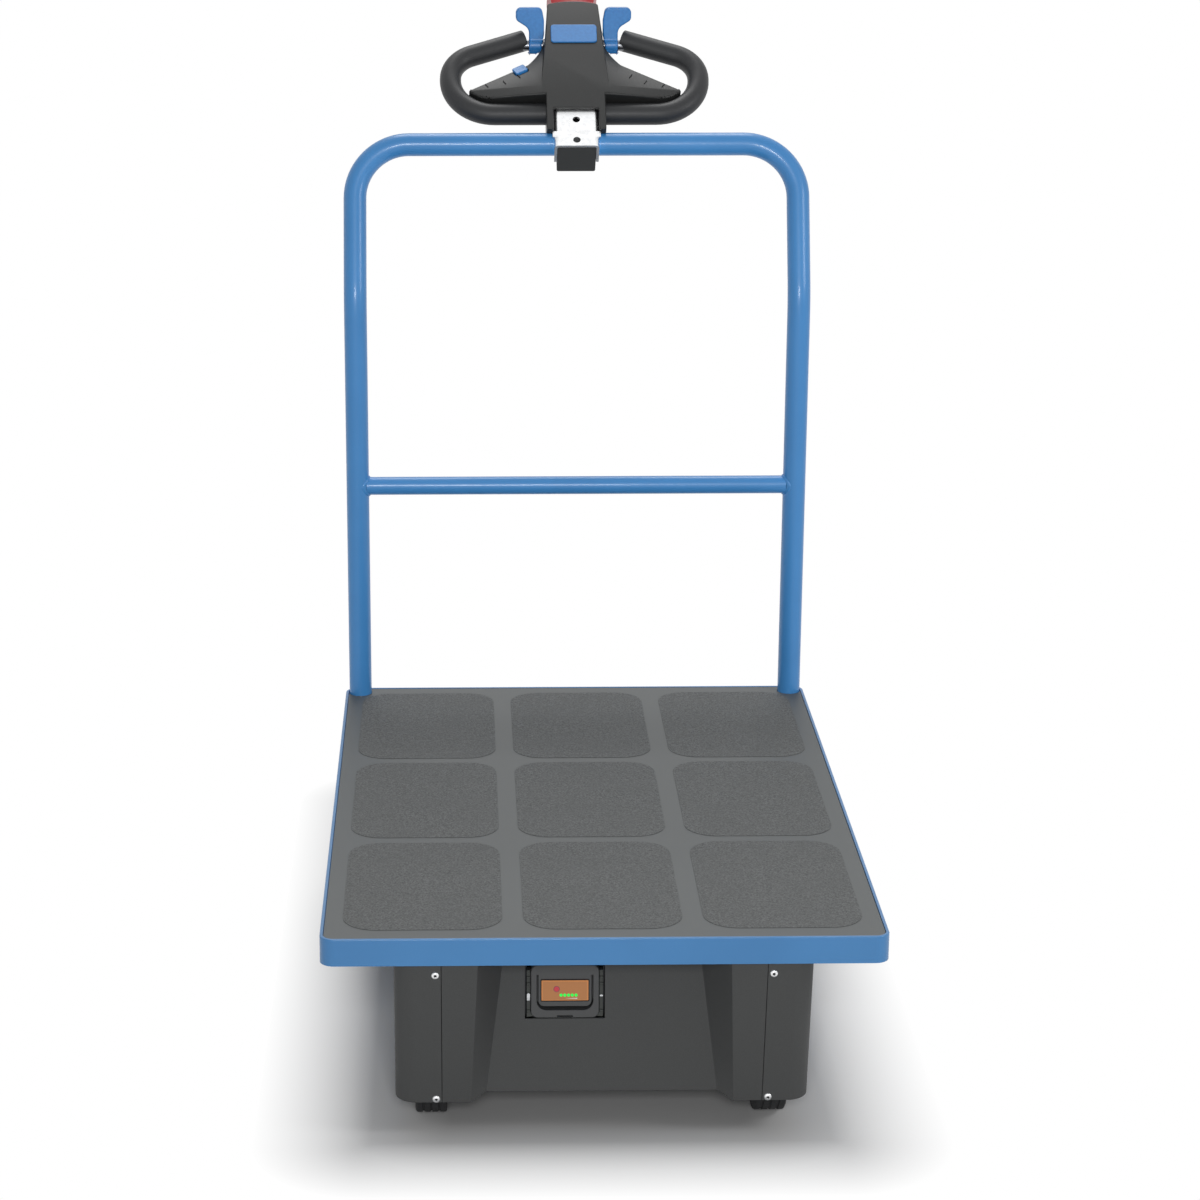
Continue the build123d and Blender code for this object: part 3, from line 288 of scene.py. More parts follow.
bm = bmesh.new()
end = ring(bm, (-upright_x + BAR_TUBE / 2, upright_y, crossbar_z), (1, 0, 0), BAR_TUBE / 2, TUBE_SIDES)
carry_on(bm, end, (2 * upright_x - BAR_TUBE, 0, 0))
for side in (-1, 1):
    middle = Vector((side * upright_x, upright_y, crossbar_z))
    start = ring(bm, middle + Vector((0, 0, BAR_TUBE / 2)), (0, 1, 0), BEAD, BEAD_SIDES)
    bmesh.ops.spin(
        bm,
        geom=start,
        cent=middle,
        axis=(1, 0, 0),
        angle=2 * pi,
        steps=TUBE_SIDES,
        use_merge=True,
        use_duplicate=False,
    )
    for vert in {v for v in bm.verts if abs(v.co.x - middle.x) < 2 * BEAD and v.link_faces}:
        vert.co.x -= side * saddle(min(abs(vert.co.y - middle.y), TUBE / 2))
new_piece("Handle_crossbar_tube", bm, tube_coat_painted_lighter, "frame", ["handle_crossbar"], smooth=60)

# Tiller bracket: a channel of 4 mm sheet with rounded bends that straddles the top bar. Bright zinc plating
# hides the sheet's grain and mirrors the room softly; its two holes take the bolts that hold the head.


def rough_finish(name, dark, pale, size, rough, bump, **fixed):
    """A finish whose colour and roughness vary over patches of one size, with a bump of the same grain."""
    material, tree, shader, place = new_finish(name, **fixed)
    patch = grain(tree, place, size)
    link(tree, blend_colours(tree, spread(tree, patch, 0.0, 1.0), dark, pale), shader, "Base Color")
    link(tree, spread(tree, patch, rough[0], rough[1]), shader, "Roughness")
    join_bump(tree, shader, patch, bump)
    return material


zinc = rough_finish("Bright_zinc_plating", "#E8E9EA", "#F0F1F2", 0.006, (0.27, 0.31), 0.000002, Metallic=1.0)
paint_node("tiller_bracket", zinc)

# Bracket block: a moulded plastic clamp between the bracket's flanges that grips the top bar. It is charcoal
# and dull, with a fine moulded grain and slightly rounded edges.
SAME_PLACE = 3e-6
FLAT_ANGLE = radians(1.5)
TINY_EDGE = 0.0003
BLOCK_EDGE = 0.0008


def soft_copy(label, name, material, body, width, segments=2, sharp=30):
    """A piece with a CAD node's form and rounded edges, in the node's place."""
    bm = bmesh.new()
    bm.from_mesh(nodes[name].data)
    bmesh.ops.transform(bm, matrix=nodes[name].matrix_world, verts=bm.verts)
    bmesh.ops.remove_doubles(bm, verts=bm.verts, dist=SAME_PLACE)
    bmesh.ops.dissolve_limit(bm, angle_limit=FLAT_ANGLE, verts=bm.verts, edges=bm.edges)
    bmesh.ops.dissolve_degenerate(bm, dist=TINY_EDGE, edges=bm.edges)
    edges = [e for e in bm.edges if e.is_manifold and e.calc_face_angle() > radians(sharp)]
    bmesh.ops.bevel(
        bm,
        geom=edges,
        offset=width,
        segments=segments,
        affect="EDGES",
        profile=0.5,
        clamp_overlap=False,
        material=-1,
    )
    piece = new_piece(label, bm, material, body, [name])
    piece.modifiers.new("Flat_faces", "WEIGHTED_NORMAL").keep_sharp = True
    return piece


block_plastic = rough_finish("Moulded_clamp_plastic", "#2B2D2E", "#343637", 0.0008, (0.55, 0.68), 0.00008)
soft_copy("Tiller_clamp_block", "bracket_block", block_plastic, "frame", BLOCK_EDGE)

# Head body: a two-part moulding in satin black with a raised spine, creased wings and a mouth for the
# bracket. The light rolls off its rounded edges, and short slits near each wing's upper edge let sound and
# water out; the slits are near-black blocks set into the shell, painted shade for their dark insides.
NEAR_BLACK = "#0B0B0C"
HEAD_LEAN = radians(48)
# The head's own directions: u across, v up along it from the top bar, w out of its face
head_s, head_c = sin(HEAD_LEAN), cos(HEAD_LEAN)
HEAD = Matrix((
    (1, 0, 0, 0),
    (0, head_s, -head_c, bar_y),
    (0, head_c, head_s, bar_z),
    (0, 0, 0, 1),
))
HEAD_EDGE = 0.0022
HEAD_SHARP = 22
SLITS = (
    # u, v and w of a slit's middle on the left wing, in metres from the top bar's axis
    (0.0837, 0.1163, 0.0188),
    (0.1053, 0.1047, 0.0183),
    (0.1317, 0.1004, 0.0157),
)
SLIT_LENGTH = 0.009
SLIT_WIDTH = 0.0011
SLIT_DEPTH = 0.002
SLIT_RISE = 0.0004
SLIT_TURN = radians(-29)
SLIT_TILT = radians(-11.7)


def block(bm, low, high, edge=0.0, place=None):
    """A box between two corners with rounded edges, moved by a matrix."""
    middle = (Vector(low) + Vector(high)) / 2
    size = Vector(high) - Vector(low)
    stretch = Matrix.Translation(middle) @ Matrix.Diagonal((*size, 1))
    made = bmesh.ops.create_cube(bm, size=1, matrix=stretch)["verts"]
    if edge:
        edges = list({e for v in made for e in v.link_edges})
        bevelled = bmesh.ops.bevel(
            bm,
            geom=edges,
            offset=edge,
            segments=2,
            affect="EDGES",
            profile=0.5,
            clamp_overlap=True,
            material=-1,
        )
        made = list({v for f in bevelled["faces"] for v in f.verts})
        made = list({v for m in made for e in m.link_edges for v in e.verts} | set(made))
    if place:
        bmesh.ops.transform(bm, matrix=place, verts=made)
    return made


head_plastic = rough_finish(
    "Satin_moulded_head_plastic", "#282929", "#2E2F2F", 0.0012, (0.34, 0.42), 0.00003, Specular_IOR_Level=0.3
)
soft_copy(
    "Tiller_head_shell",
    "head_body",
    head_plastic,
    "frame",
    HEAD_EDGE,
    segments=3,
    sharp=HEAD_SHARP,
)

# Painted shade: near-black for the insides of the head's slits and of the screws' sockets.
painted_shade_black = rough_finish("Painted_shade_black", NEAR_BLACK, "#101011", 0.002, (0.8, 0.9), 0.00001)
slit_low = (-SLIT_WIDTH / 2, -SLIT_LENGTH / 2, -SLIT_DEPTH)
slit_high = (SLIT_WIDTH / 2, SLIT_LENGTH / 2, SLIT_RISE)
bm = bmesh.new()
for side in (-1, 1):
    for u, v, w in SLITS:
        turn = Matrix.Rotation(side * SLIT_TURN, 4, "Z") @ Matrix.Rotation(SLIT_TILT, 4, "X")
        place = HEAD @ Matrix.Translation((side * u, v, w)) @ turn
        block(bm, slit_low, slit_high, place=place)
new_piece("Tiller_head_slits", bm, painted_shade_black, "frame")

# Hand grips: steel rings overmoulded with satin rubber, cut square at their inner upper ends. The rubber is
# smooth to the thumb, with a very fine leathery grain that keeps its highlight broad.
GRIP_TUBE = 0.032
GRIP_OUT = 0.186
GRIP_LOW = 0.058
GRIP_CORNER = 0.161
GRIP_END = Vector((0.074, 0.204, 0.0))
GRIP_LOWER_BEND = 0.066
GRIP_UPPER_BEND = 0.049
BODY_HALF = 0.044
GRIP_LIP = 0.0012
GRIP_SIDES = 40
LOWER_BEND_STEPS = 16
UPPER_BEND_STEPS = 12


def close_end(bm, edges):
    bmesh.ops.contextual_create(bm, geom=edges)


grip_rubber = rough_finish(
    "Satin_grip_rubber", "#2C2D2F", "#323335", 0.0010, (0.42, 0.52), 0.00004, Specular_IOR_Level=0.38
)
for side, word in ((-1, "left"), (1, "right")):
    bm = bmesh.new()
    corner = Vector((side * GRIP_OUT, GRIP_CORNER, 0.0))
    grip_end = Vector((side * GRIP_END.x, GRIP_END.y, 0.0))
    upper_way = (grip_end - corner).normalized()
    upper_turn = upper_way.angle(Vector((0, 1, 0)))
    upper_start = corner - Vector((0, GRIP_UPPER_BEND * tan(upper_turn / 2), 0))
    end = ring(bm, (side * BODY_HALF, GRIP_LOW, 0), (side, 0, 0), GRIP_TUBE / 2, GRIP_SIDES)
    end = carry_on(bm, end, (side * (GRIP_OUT - GRIP_LOWER_BEND - BODY_HALF), 0, 0))
    pivot = (side * (GRIP_OUT - GRIP_LOWER_BEND), GRIP_LOW + GRIP_LOWER_BEND, 0)
    end = bend_on(bm, end, pivot, (0, 0, side), pi / 2, LOWER_BEND_STEPS)
    end = carry_on(bm, end, (0, upper_start.y - GRIP_LOW - GRIP_LOWER_BEND, 0))
    upper_pivot = upper_start - Vector((side * GRIP_UPPER_BEND, 0, 0))
    end = bend_on(bm, end, upper_pivot, (0, 0, side), upper_turn, UPPER_BEND_STEPS)
    middle = sum((v.co for v in {v for e in end for v in e.verts}), Vector()) / len(end)
    end = carry_on(bm, end, grip_end - upper_way * GRIP_LIP - middle)
    end = carry_on(bm, end, upper_way * GRIP_LIP)
    rim = {v for e in end for v in e.verts}
    for vert in rim:
        vert.co = grip_end + (vert.co - grip_end) * (1 - 2 * GRIP_LIP / GRIP_TUBE)
    close_end(bm, end)
    bmesh.ops.transform(bm, matrix=HEAD, verts=bm.verts)
    new_piece(f"Grip_rubber_{word}", bm, grip_rubber, "frame", [f"grip_{word}"])

# Controls: shaft of turned steel, blue moulded levers, horn and speed buttons, and the red belly switch. The
# coloured plastic is dyed through, semi-gloss, with soft moulded edges.
LEVER_EDGE = 0.0024
HORN_EDGE = 0.0003
SPEED_EDGE = 0.0012

turned_steel = rough_finish("Turned_steel", "#6E7074", "#8A8C90", 0.003, (0.26, 0.38), 0.00002, Metallic=1.0)
blue_plastic = rough_finish("Dyed_blue_plastic", "#2F7FC8", "#3588D1", 0.004, (0.30, 0.38), 0.00002)
red_plastic = rough_finish("Dyed_red_plastic", "#BE3238", "#C83C42", 0.004, (0.30, 0.38), 0.00002)
paint_node("lever_shaft", turned_steel)
for lever in ("lever_left", "lever_right"):
    label = lever.capitalize() + "_moulding"
    soft_copy(label, lever, blue_plastic, "frame", LEVER_EDGE, segments=3)
soft_copy("Horn_button_cap", "horn_button", blue_plastic, "frame", HORN_EDGE)
soft_copy("Speed_button_cap", "speed_button", blue_plastic, "frame", SPEED_EDGE, segments=3)
paint_node("belly_switch", red_plastic)

# Drive housing: a vacuum-formed cover in textured black plastic, with a recessed panel between two wheel pods
# whose outer covers are separate and held by bright button-head screws.
SCREW_X = 0.2083
SCREW_DROPS = (0.051, 0.233)
SCREW_HEAD = 0.0104
SCREW_RISE = 0.0022
SCREW_SUNK = 0.0008
SOCKET = 0.0042
POD_LEAN = radians(10.44)
POD_TOP_SETBACK = 0.005
POD_BOTTOM_SETBACK = 0.0425
SHELL_EDGE = 0.0006

housing_plastic = rough_finish(
    "Textured_housing_plastic", "#4A4B4B", "#505151", 0.0009, (0.58, 0.68), 0.00006, Specular_IOR_Level=0.2
)
for shell in ("drive_housing", "pod_cover_left", "pod_cover_right"):
    label = shell.capitalize() + "_shell"
    soft_copy(label, shell, housing_plastic, "frame", SHELL_EDGE)

deck_low, deck_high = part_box("deck_pan")
deck_top = deck_high.z
housing_low, housing_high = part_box("drive_housing")


def pod_front(level):
    """How far forward the pods' leaning front lies at a level."""
    share = (housing_high.z - level) / (housing_high.z - housing_low.z)
    return deck_low.y + POD_TOP_SETBACK + share * (POD_BOTTOM_SETBACK - POD_TOP_SETBACK)


def lathe(bm, profile, centre, axis, steps=32):
    """Turns a profile of (radius, height) points round an axis."""
    axis = Vector(axis).normalized()
    out = axis.orthogonal().normalized()
    verts = [bm.verts.new(Vector(centre) + axis * height + out * radius) for radius, height in profile]
    edges = [bm.edges.new(pair) for pair in zip(verts, verts[1:])]
    bmesh.ops.spin(bm, geom=verts + edges, cent=centre, axis=axis, angle=2 * pi, steps=steps, use_merge=True)


screw_zinc = bmesh.new()
sockets = bmesh.new()
screw_way = Vector((0, -cos(POD_LEAN), -sin(POD_LEAN)))
for side in (-1, 1):
    for drop in SCREW_DROPS:
        level = deck_top - drop
        seat = Vector((side * SCREW_X, pod_front(level), level))
        dome = [
            (0.0, SCREW_RISE * 0.55),
            (SOCKET / 2, SCREW_RISE * 0.55),
            (SOCKET / 2, SCREW_RISE),
            (SCREW_HEAD * 0.36, SCREW_RISE * 0.92),
            (SCREW_HEAD * 0.46, SCREW_RISE * 0.5),
            (SCREW_HEAD * 0.5, -SCREW_SUNK),
        ]
        lathe(screw_zinc, dome, seat, screw_way, 24)
        # The sockets are near-black hexagonal discs sunk in the screw heads, painted shade in their recesses.
        lathe(sockets, [(0.0, SCREW_RISE * 0.6), (SOCKET / 2, SCREW_RISE * 0.6)], seat, screw_way, 6)
new_piece("Cover_screws", screw_zinc, zinc, "frame")
new_piece("Cover_screw_sockets", sockets, painted_shade_black, "frame")

# Battery pack: a moulded case in satin black that slides out of its bay. A narrow, deep groove runs down both
# sides of the display block and under it, and a shallow slit in the frame's foot is for the fingers.
PANEL_TILT = radians(7.36)
PANEL_SETBACK = 0.0797
PACK_PROUD = 0.001
PACK_CORNER = 0.009
BLOCK_HALF = 0.03325
BLOCK_FOOT = 0.015
BLOCK_TOP = 0.055
BLOCK_ROUND = 0.0072
GROOVE = 0.0022
GROOVE_UNDER = 0.0050
GROOVE_DEPTH = 0.014
FINGER_HALF = 0.010
FINGER_LOW = 0.0012
FINGER_HIGH = 0.0034
FINGER_ROUND = 0.001
FINGER_DEPTH = GROOVE_DEPTH / 3
SOFT_RIM = 0.0010
GROOVE_RIM = 0.0004

pack_low, pack_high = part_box("battery_pack")
pack_x = (pack_low.x + pack_high.x) / 2


def face_point(x, level, depth):
    """A point of the pack's leaning front, that far behind it, from the pack's middle and its foot."""
    height = pack_low.z + level
    lean = (deck_low.z - height) * tan(PANEL_TILT)
    front_y = deck_low.y + PANEL_SETBACK - lean - PACK_PROUD / cos(PANEL_TILT)
    return (pack_x + x, front_y + depth, height)


def arc_points(x, level, radius, start, turn, steps=8):
    """Points of a corner's arc, as (across, up)."""
    angles = [radians(start + turn * i / steps) for i in range(steps + 1)]
    return [(x + radius * cos(a), level + radius * sin(a)) for a in angles]


def plate_outline(half, low, high, radius):
    """A rectangle with rounded corners."""
    corners = ((1, low, -90), (1, high, 0), (-1, high, 90), (-1, low, 180))
    points = []
    for side, level, start in corners:
        inward = radius if level == low else -radius
        points += arc_points(side * (half - radius), level + inward, radius, start, 90)
    return points


def groove_outline(grow):
    """The groove round the display block, each wall moved out by that much."""
    outer, inner = BLOCK_HALF + GROOVE + grow, BLOCK_HALF - grow
    foot, sole = BLOCK_FOOT - GROOVE_UNDER - grow, BLOCK_FOOT + grow
    big, small = BLOCK_ROUND + GROOVE_UNDER + grow, BLOCK_ROUND - grow
    points = [(-outer, BLOCK_TOP + grow)]
    points += arc_points(-outer + big, foot + big, big, 180, 90)
    points += arc_points(outer - big, foot + big, big, 270, 90)
    points += [(outer, BLOCK_TOP + grow), (inner, BLOCK_TOP + grow)]
    points += arc_points(inner - small, sole + small, small, 0, -90)
    points += arc_points(small - inner, sole + small, small, 270, -90)
    return points + [(-inner, BLOCK_TOP + grow)]


def draw_loop(bm, outline, depth):
    """A closed loop of edges on the pack's front."""
    verts = [bm.verts.new(face_point(x, level, depth)) for x, level in outline]
    return [bm.edges.new((verts[i - 1], verts[i])) for i in range(len(verts))]


def wall_between(bm, *loops):
    for first, second in zip(loops, loops[1:]):
        bmesh.ops.bridge_loops(bm, edges=first + second)


pack_tall = pack_high.z - pack_low.z
pack_half = (pack_high.x - pack_low.x) / 2
rim_outline = plate_outline(pack_half - SOFT_RIM, SOFT_RIM, pack_tall - SOFT_RIM, PACK_CORNER - SOFT_RIM)
bm = bmesh.new()
rim = draw_loop(bm, rim_outline, 0)
side_wall = draw_loop(bm, plate_outline(pack_half, 0, pack_tall, PACK_CORNER), SOFT_RIM)
wall_between(bm, rim, side_wall)
groove_rim = draw_loop(bm, groove_outline(GROOVE_RIM), 0)
groove_wall = draw_loop(bm, groove_outline(0), GROOVE_RIM)
groove_floor = draw_loop(bm, groove_outline(0), GROOVE_DEPTH)
wall_between(bm, groove_rim, groove_wall, groove_floor)
finger_outline = plate_outline(FINGER_HALF, FINGER_LOW, FINGER_HIGH, FINGER_ROUND)
slit_rim = draw_loop(bm, finger_outline, 0)
slit_floor = draw_loop(bm, finger_outline, FINGER_DEPTH)
wall_between(bm, slit_rim, slit_floor)
bmesh.ops.triangle_fill(bm, use_beauty=True, use_dissolve=False, edges=rim + groove_rim + slit_rim)
bmesh.ops.triangle_fill(bm, use_beauty=True, use_dissolve=False, edges=groove_floor)
bmesh.ops.triangle_fill(bm, use_beauty=True, use_dissolve=False, edges=slit_floor)
end = carry_on(bm, side_wall, (0, 0, 0))
for vert in {v for e in end for v in e.verts}:
    vert.co.y = pack_high.y
close_end(bm, end)
pack_plastic = rough_finish("Satin_battery_case", "#3D3E3F", "#434445", 0.0010, (0.48, 0.58), 0.00004)
new_piece("Battery_case", bm, pack_plastic, "battery", ["battery_pack"], smooth=35)

# Battery display: an orange printed film under a black bezel, with a round red key, five green charge lights
# and a white wedge under them. The film's edge is a lighter band that glows more, a painted highlight of the
# side light; the film, the key and the wedge glow faintly as painted light, and only the charge lights shine.
BEZEL_RISE = 0.0008
BEZEL_RIM = 0.0013
BEZEL_ROUND = 0.0015
FILM_HALF = 0.0294
FILM_LOW = 0.0228
FILM_HIGH = 0.0486
FILM_HIGHLIGHT_BAND = 0.0017
FILM_ROUND = 0.0008
KEY_PLACE = (-0.0105, 0.0375)
KEY_RADIUS = 0.0040
KEY_INNER_SHARE = 0.82
LIGHTS = 5
LIGHT_LEVEL = 0.0297
LIGHT_START = -0.0049
LIGHT_STEP = 0.0047
LIGHT_RADIUS = 0.0020
WEDGE = ((0.0005, 0.0254), (0.0155, 0.0248), (0.0155, 0.0262))
ROUND_POINTS = 24

bezel_half = (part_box("battery_display")[1].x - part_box("battery_display")[0].x) / 2


def front_plate(bm, outline, out, thick):
    """A thin plate that stands proud of the pack's front."""
    face = draw_loop(bm, outline, -out)
    back = draw_loop(bm, outline, thick - out)
    wall_between(bm, face, back)
    close_end(bm, face)
    close_end(bm, back)


def round_outline(x, level, radius):
    """A circle."""
    steps = ROUND_POINTS - 1
    return arc_points(x, level, radius, 0, 360 * steps / ROUND_POINTS, steps)


def glowing(name, code, strength):
    """A lamp, or a print with painted light: its own colour with some light of its own."""
    material, _, shader, _ = new_finish(name, Base_Color=linear(code), Roughness=0.35)
    shader.inputs["Emission Color"].default_value = linear(code)
    shader.inputs["Emission Strength"].default_value = strength
    return material


bezel = rough_finish(
    "Black_display_bezel", "#050607", "#08090A", 0.002, (0.5, 0.6), 0.00001, Specular_IOR_Level=0.2
)
bezel_outline = plate_outline(bezel_half, FILM_LOW - BEZEL_RIM, FILM_HIGH + BEZEL_RIM, BEZEL_ROUND)
bm = bmesh.new()
front_plate(bm, bezel_outline, BEZEL_RISE, BEZEL_RISE)
new_piece("Display_bezel", bm, bezel, "battery", ["battery_display"])
film_highlight_outline = plate_outline(FILM_HALF, FILM_LOW, FILM_HIGH, FILM_ROUND)
film = plate_outline(
    FILM_HALF - FILM_HIGHLIGHT_BAND, FILM_LOW + FILM_HIGHLIGHT_BAND / 2, FILM_HIGH - FILM_HIGHLIGHT_BAND, FILM_ROUND / 2
)
key_ring = round_outline(*KEY_PLACE, KEY_RADIUS)
key = round_outline(*KEY_PLACE, KEY_RADIUS * KEY_INNER_SHARE)
lights = [round_outline(LIGHT_START + LIGHT_STEP * i, LIGHT_LEVEL, LIGHT_RADIUS) for i in range(LIGHTS)]
# The film edge's lighter colour and stronger glow are a painted highlight; the glow of film, key and wedge is
# painted light.
display_parts = (
    # piece, finish, colour, strength of its glow, outlines, height above the bezel
    ("Display_film_painted_highlight", "Orange_film_painted_highlight", "#CC8449", 0.10, [film_highlight_outline], 0.00005),
    ("Display_film", "Orange_printed_film", "#B97B48", 0.06, [film], 0.0001),
    ("Display_key_ring", "Dark_key_ring", "#7A4A58", 0.0, [key_ring], 0.0002),
    ("Display_key", "Red_membrane_key", "#CE3D48", 0.05, [key], 0.0003),
    ("Display_lights", "Green_charge_lights", "#22E048", 0.55, lights, 0.0002),
    ("Display_wedge", "White_printed_wedge", "#E8DAD4", 0.10, [WEDGE], 0.0002),
)
for name, finish, code, strength, outlines, out in display_parts:
    bm = bmesh.new()
    for outline in outlines:
        front_plate(bm, outline, BEZEL_RISE + out, out)
    new_piece(name, bm, glowing(finish, code, strength), "battery")

# Latches: bright steel hooks in the slots beside the pack. A dull moulded liner with short ribs closes each
# slot and follows the pack's rounded foot, and only the hooks' tips stand out of it.
LINER_SETBACK = 0.0035
LINER_DEPTH = 0.010
LINER_TOP = 0.060
LINER_GAP = 0.0006
LINER_RIBS = (0.006, 0.041, 0.049)
RIB_HEIGHT = 0.0035
RIB_STAND = 0.0015
RIB_ROOT = 0.002
RIB_EDGE = 0.0004
LINER_FOOT = 0.0004
SLOT_INSET = 0.0022
LATCH_EDGE = 0.0014
TIP_EDGE = 0.0007
LATCH_TIPS = (
    # side, foot and top above the pack's foot
    (-1, 0.0215, 0.0310),
    (1, 0.0262, 0.0288),
)

bright_screw = rough_finish(
    "Zinc_plated_fasteners", "#B9BBBE", "#CFD1D3", 0.003, (0.26, 0.36), 0.00002, Metallic=1.0
)
soft_copy("Battery_latch_hooks", "battery_latches", zinc, "frame", LATCH_EDGE, segments=3)
liner_plastic = rough_finish("Dull_slot_liner", "#303331", "#3B3E3B", 0.003, (0.6, 0.75), 0.00006)
tray_low, tray_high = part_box("battery_tray")
slot_edge = (tray_high.x - tray_low.x) / 2 - SLOT_INSET


def slot_block(bm, side, low, high, stand, edge):
    """A block across the slot on one side of the pack, standing out of the liner by that much."""
    near = face_point(side * (pack_half + LINER_GAP), low, LINER_SETBACK - stand)
    far = face_point(side * slot_edge, high, LINER_SETBACK + RIB_ROOT)
    corners = [sorted(pair) for pair in zip(near, far)]
    block(bm, [pair[0] for pair in corners], [pair[1] for pair in corners], edge)


bm = bmesh.new()
for side in (-1, 1):
    inner = pack_half + LINER_GAP
    corner_x = side * (pack_half - PACK_CORNER)
    corner = arc_points(corner_x, PACK_CORNER, PACK_CORNER + LINER_GAP, -90, side * 90)
    outline = [(side * slot_edge, LINER_TOP), (side * slot_edge, LINER_FOOT)]
    outline += [(across, level) for across, level in corner if level > LINER_FOOT]
    outline += [(side * inner, LINER_TOP)]
    face = draw_loop(bm, outline, LINER_SETBACK)
    back = draw_loop(bm, outline, LINER_SETBACK + LINER_DEPTH)
    wall_between(bm, face, back)
    close_end(bm, face)
    close_end(bm, back)
    for level in LINER_RIBS:
        slot_block(bm, side, level, level + RIB_HEIGHT, RIB_STAND, RIB_EDGE)
new_piece("Battery_slot_liners", bm, liner_plastic, "frame")
bm = bmesh.new()
for side, low, high in LATCH_TIPS:
    slot_block(bm, side, low, high, RIB_STAND, TIP_EDGE)
new_piece("Battery_latch_tips", bm, bright_screw, "frame")

# Chassis members, forks and tray: folded and welded steel in the chassis paint, with the small rounded edges
# of rolled sections.
CHASSIS_EDGES = (
    # node, rounding of its edges
    ("cross_members", 0.0009),
    ("side_rails", 0.0009),
    ("foot_plates", 0.0006),
    ("battery_tray", 0.0005),
    ("drive_fork_left", 0.0008),
    ("drive_fork_right", 0.0008),
)
for name, width in CHASSIS_EDGES:
    soft_copy(name.capitalize() + "_steel", name, chassis_paint, "frame", width)

# Driven wheels: a hub motor in cast aluminium with screwed caps, and a solid black tyre with rounded
# shoulders and three moulded grooves. The axle ends in a thin lock nut on each side of its fork.
TYRE_STEPS = 96
TYRE_SHOULDER = 0.0035
TYRE_GROOVE = 0.0016
GROOVE_PLACES = (-0.010, 0.0, 0.010)
CAP_SCREWS = 6
CAP_SCREW_CIRCLE = 0.034
CAP_SCREW_HEAD = 0.007
CAP_SCREW_PROFILE = (
    # radius and height, from the middle outwards
    (0.0, 0.0006),
    (0.0018, 0.0006),
    (0.0018, 0.0016),
    (CAP_SCREW_HEAD / 2, 0.0012),
    (CAP_SCREW_HEAD / 2, -0.0004),
)
MOTOR_EDGE = 0.0010
NUT_ACROSS = 0.030
NUT_THICK = 0.0036
NUT_INSET = 0.004


def tyre_profile(inner, outer, half, grooves, shoulder=TYRE_SHOULDER):
    """A tyre's section from one side to the other, as (radius, across)."""
    rise = [radians(15 * i) for i in range(7)]
    left = [(outer - shoulder + shoulder * sin(a), -half + shoulder - shoulder * cos(a)) for a in rise]
    tread = []
    for across in grooves:
        tread += [
            (outer, across - TYRE_GROOVE),
            (outer - TYRE_GROOVE, across - TYRE_GROOVE / 2),
            (outer - TYRE_GROOVE, across + TYRE_GROOVE / 2),
            (outer, across + TYRE_GROOVE),
        ]
    right = [(radius, -across) for radius, across in reversed(left)]
    return [(inner, -half)] + left + tread + right + [(inner, half)]


def wheel_sizes(name):
    """A wheel piece's centre, outer radius and half width."""
    low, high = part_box(name)
    return (low + high) / 2, (high.z - low.z) / 2, (high.x - low.x) / 2


def hexagon(bm, centre, axis, across, height):
    """A plain hexagonal bolt head or nut."""
    radius = across / 3**0.5
    turn = Vector(axis).to_track_quat("Z", "Y").to_matrix().to_4x4()
    place = Matrix.Translation(Vector(centre) + Vector(axis).normalized() * height / 2) @ turn
    bmesh.ops.create_cone(
        bm, cap_ends=True, segments=6, radius1=radius, radius2=radius, depth=height, matrix=place
    )


tyre_rubber = rough_finish("Moulded_black_tyre", "#17181A", "#202123", 0.004, (0.62, 0.78), 0.00015)
motor_metal = rough_finish(
    "Cast_motor_aluminium", "#8D8F92", "#A2A4A7", 0.002, (0.38, 0.5), 0.00005, Metallic=1.0
)
for side in ("left", "right"):
    wheel = f"drive_wheel_{side}"
    motor = f"drive_motor_{side}"
    centre, outer, half = wheel_sizes(f"drive_tyre_{side}")
    _, hub_outer, hub_half = wheel_sizes(motor)
    bm = bmesh.new()
    lathe(bm, tyre_profile(hub_outer, outer, half, GROOVE_PLACES), centre, (1, 0, 0), TYRE_STEPS)
    new_piece(f"Drive_tyre_{side}_rubber", bm, tyre_rubber, wheel, [f"drive_tyre_{side}"])
    soft_copy(motor.capitalize() + "_casting", motor, motor_metal, wheel, MOTOR_EDGE)
    bm = bmesh.new()
    for face in (-1, 1):
        for i in range(CAP_SCREWS):
            angle = 2 * pi * i / CAP_SCREWS
            along = CAP_SCREW_CIRCLE * cos(angle)
            up = CAP_SCREW_CIRCLE * sin(angle)
            seat = centre + Vector((face * hub_half, along, up))
            lathe(bm, CAP_SCREW_PROFILE, seat, (face, 0, 0), 12)
    new_piece(f"Motor_cap_screws_{side}", bm, bright_screw, wheel)
    paint_node(f"drive_axle_{side}", turned_steel)
    axle_low, axle_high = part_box(f"drive_axle_{side}")
    bm = bmesh.new()
    for face, reach in ((-1, axle_low.x + NUT_INSET), (1, axle_high.x - NUT_INSET)):
        hexagon(bm, (reach, centre.y, centre.z), (face, 0, 0), NUT_ACROSS, NUT_THICK)
    new_piece(f"Drive_axle_nuts_{side}", bm, bright_screw, "frame")

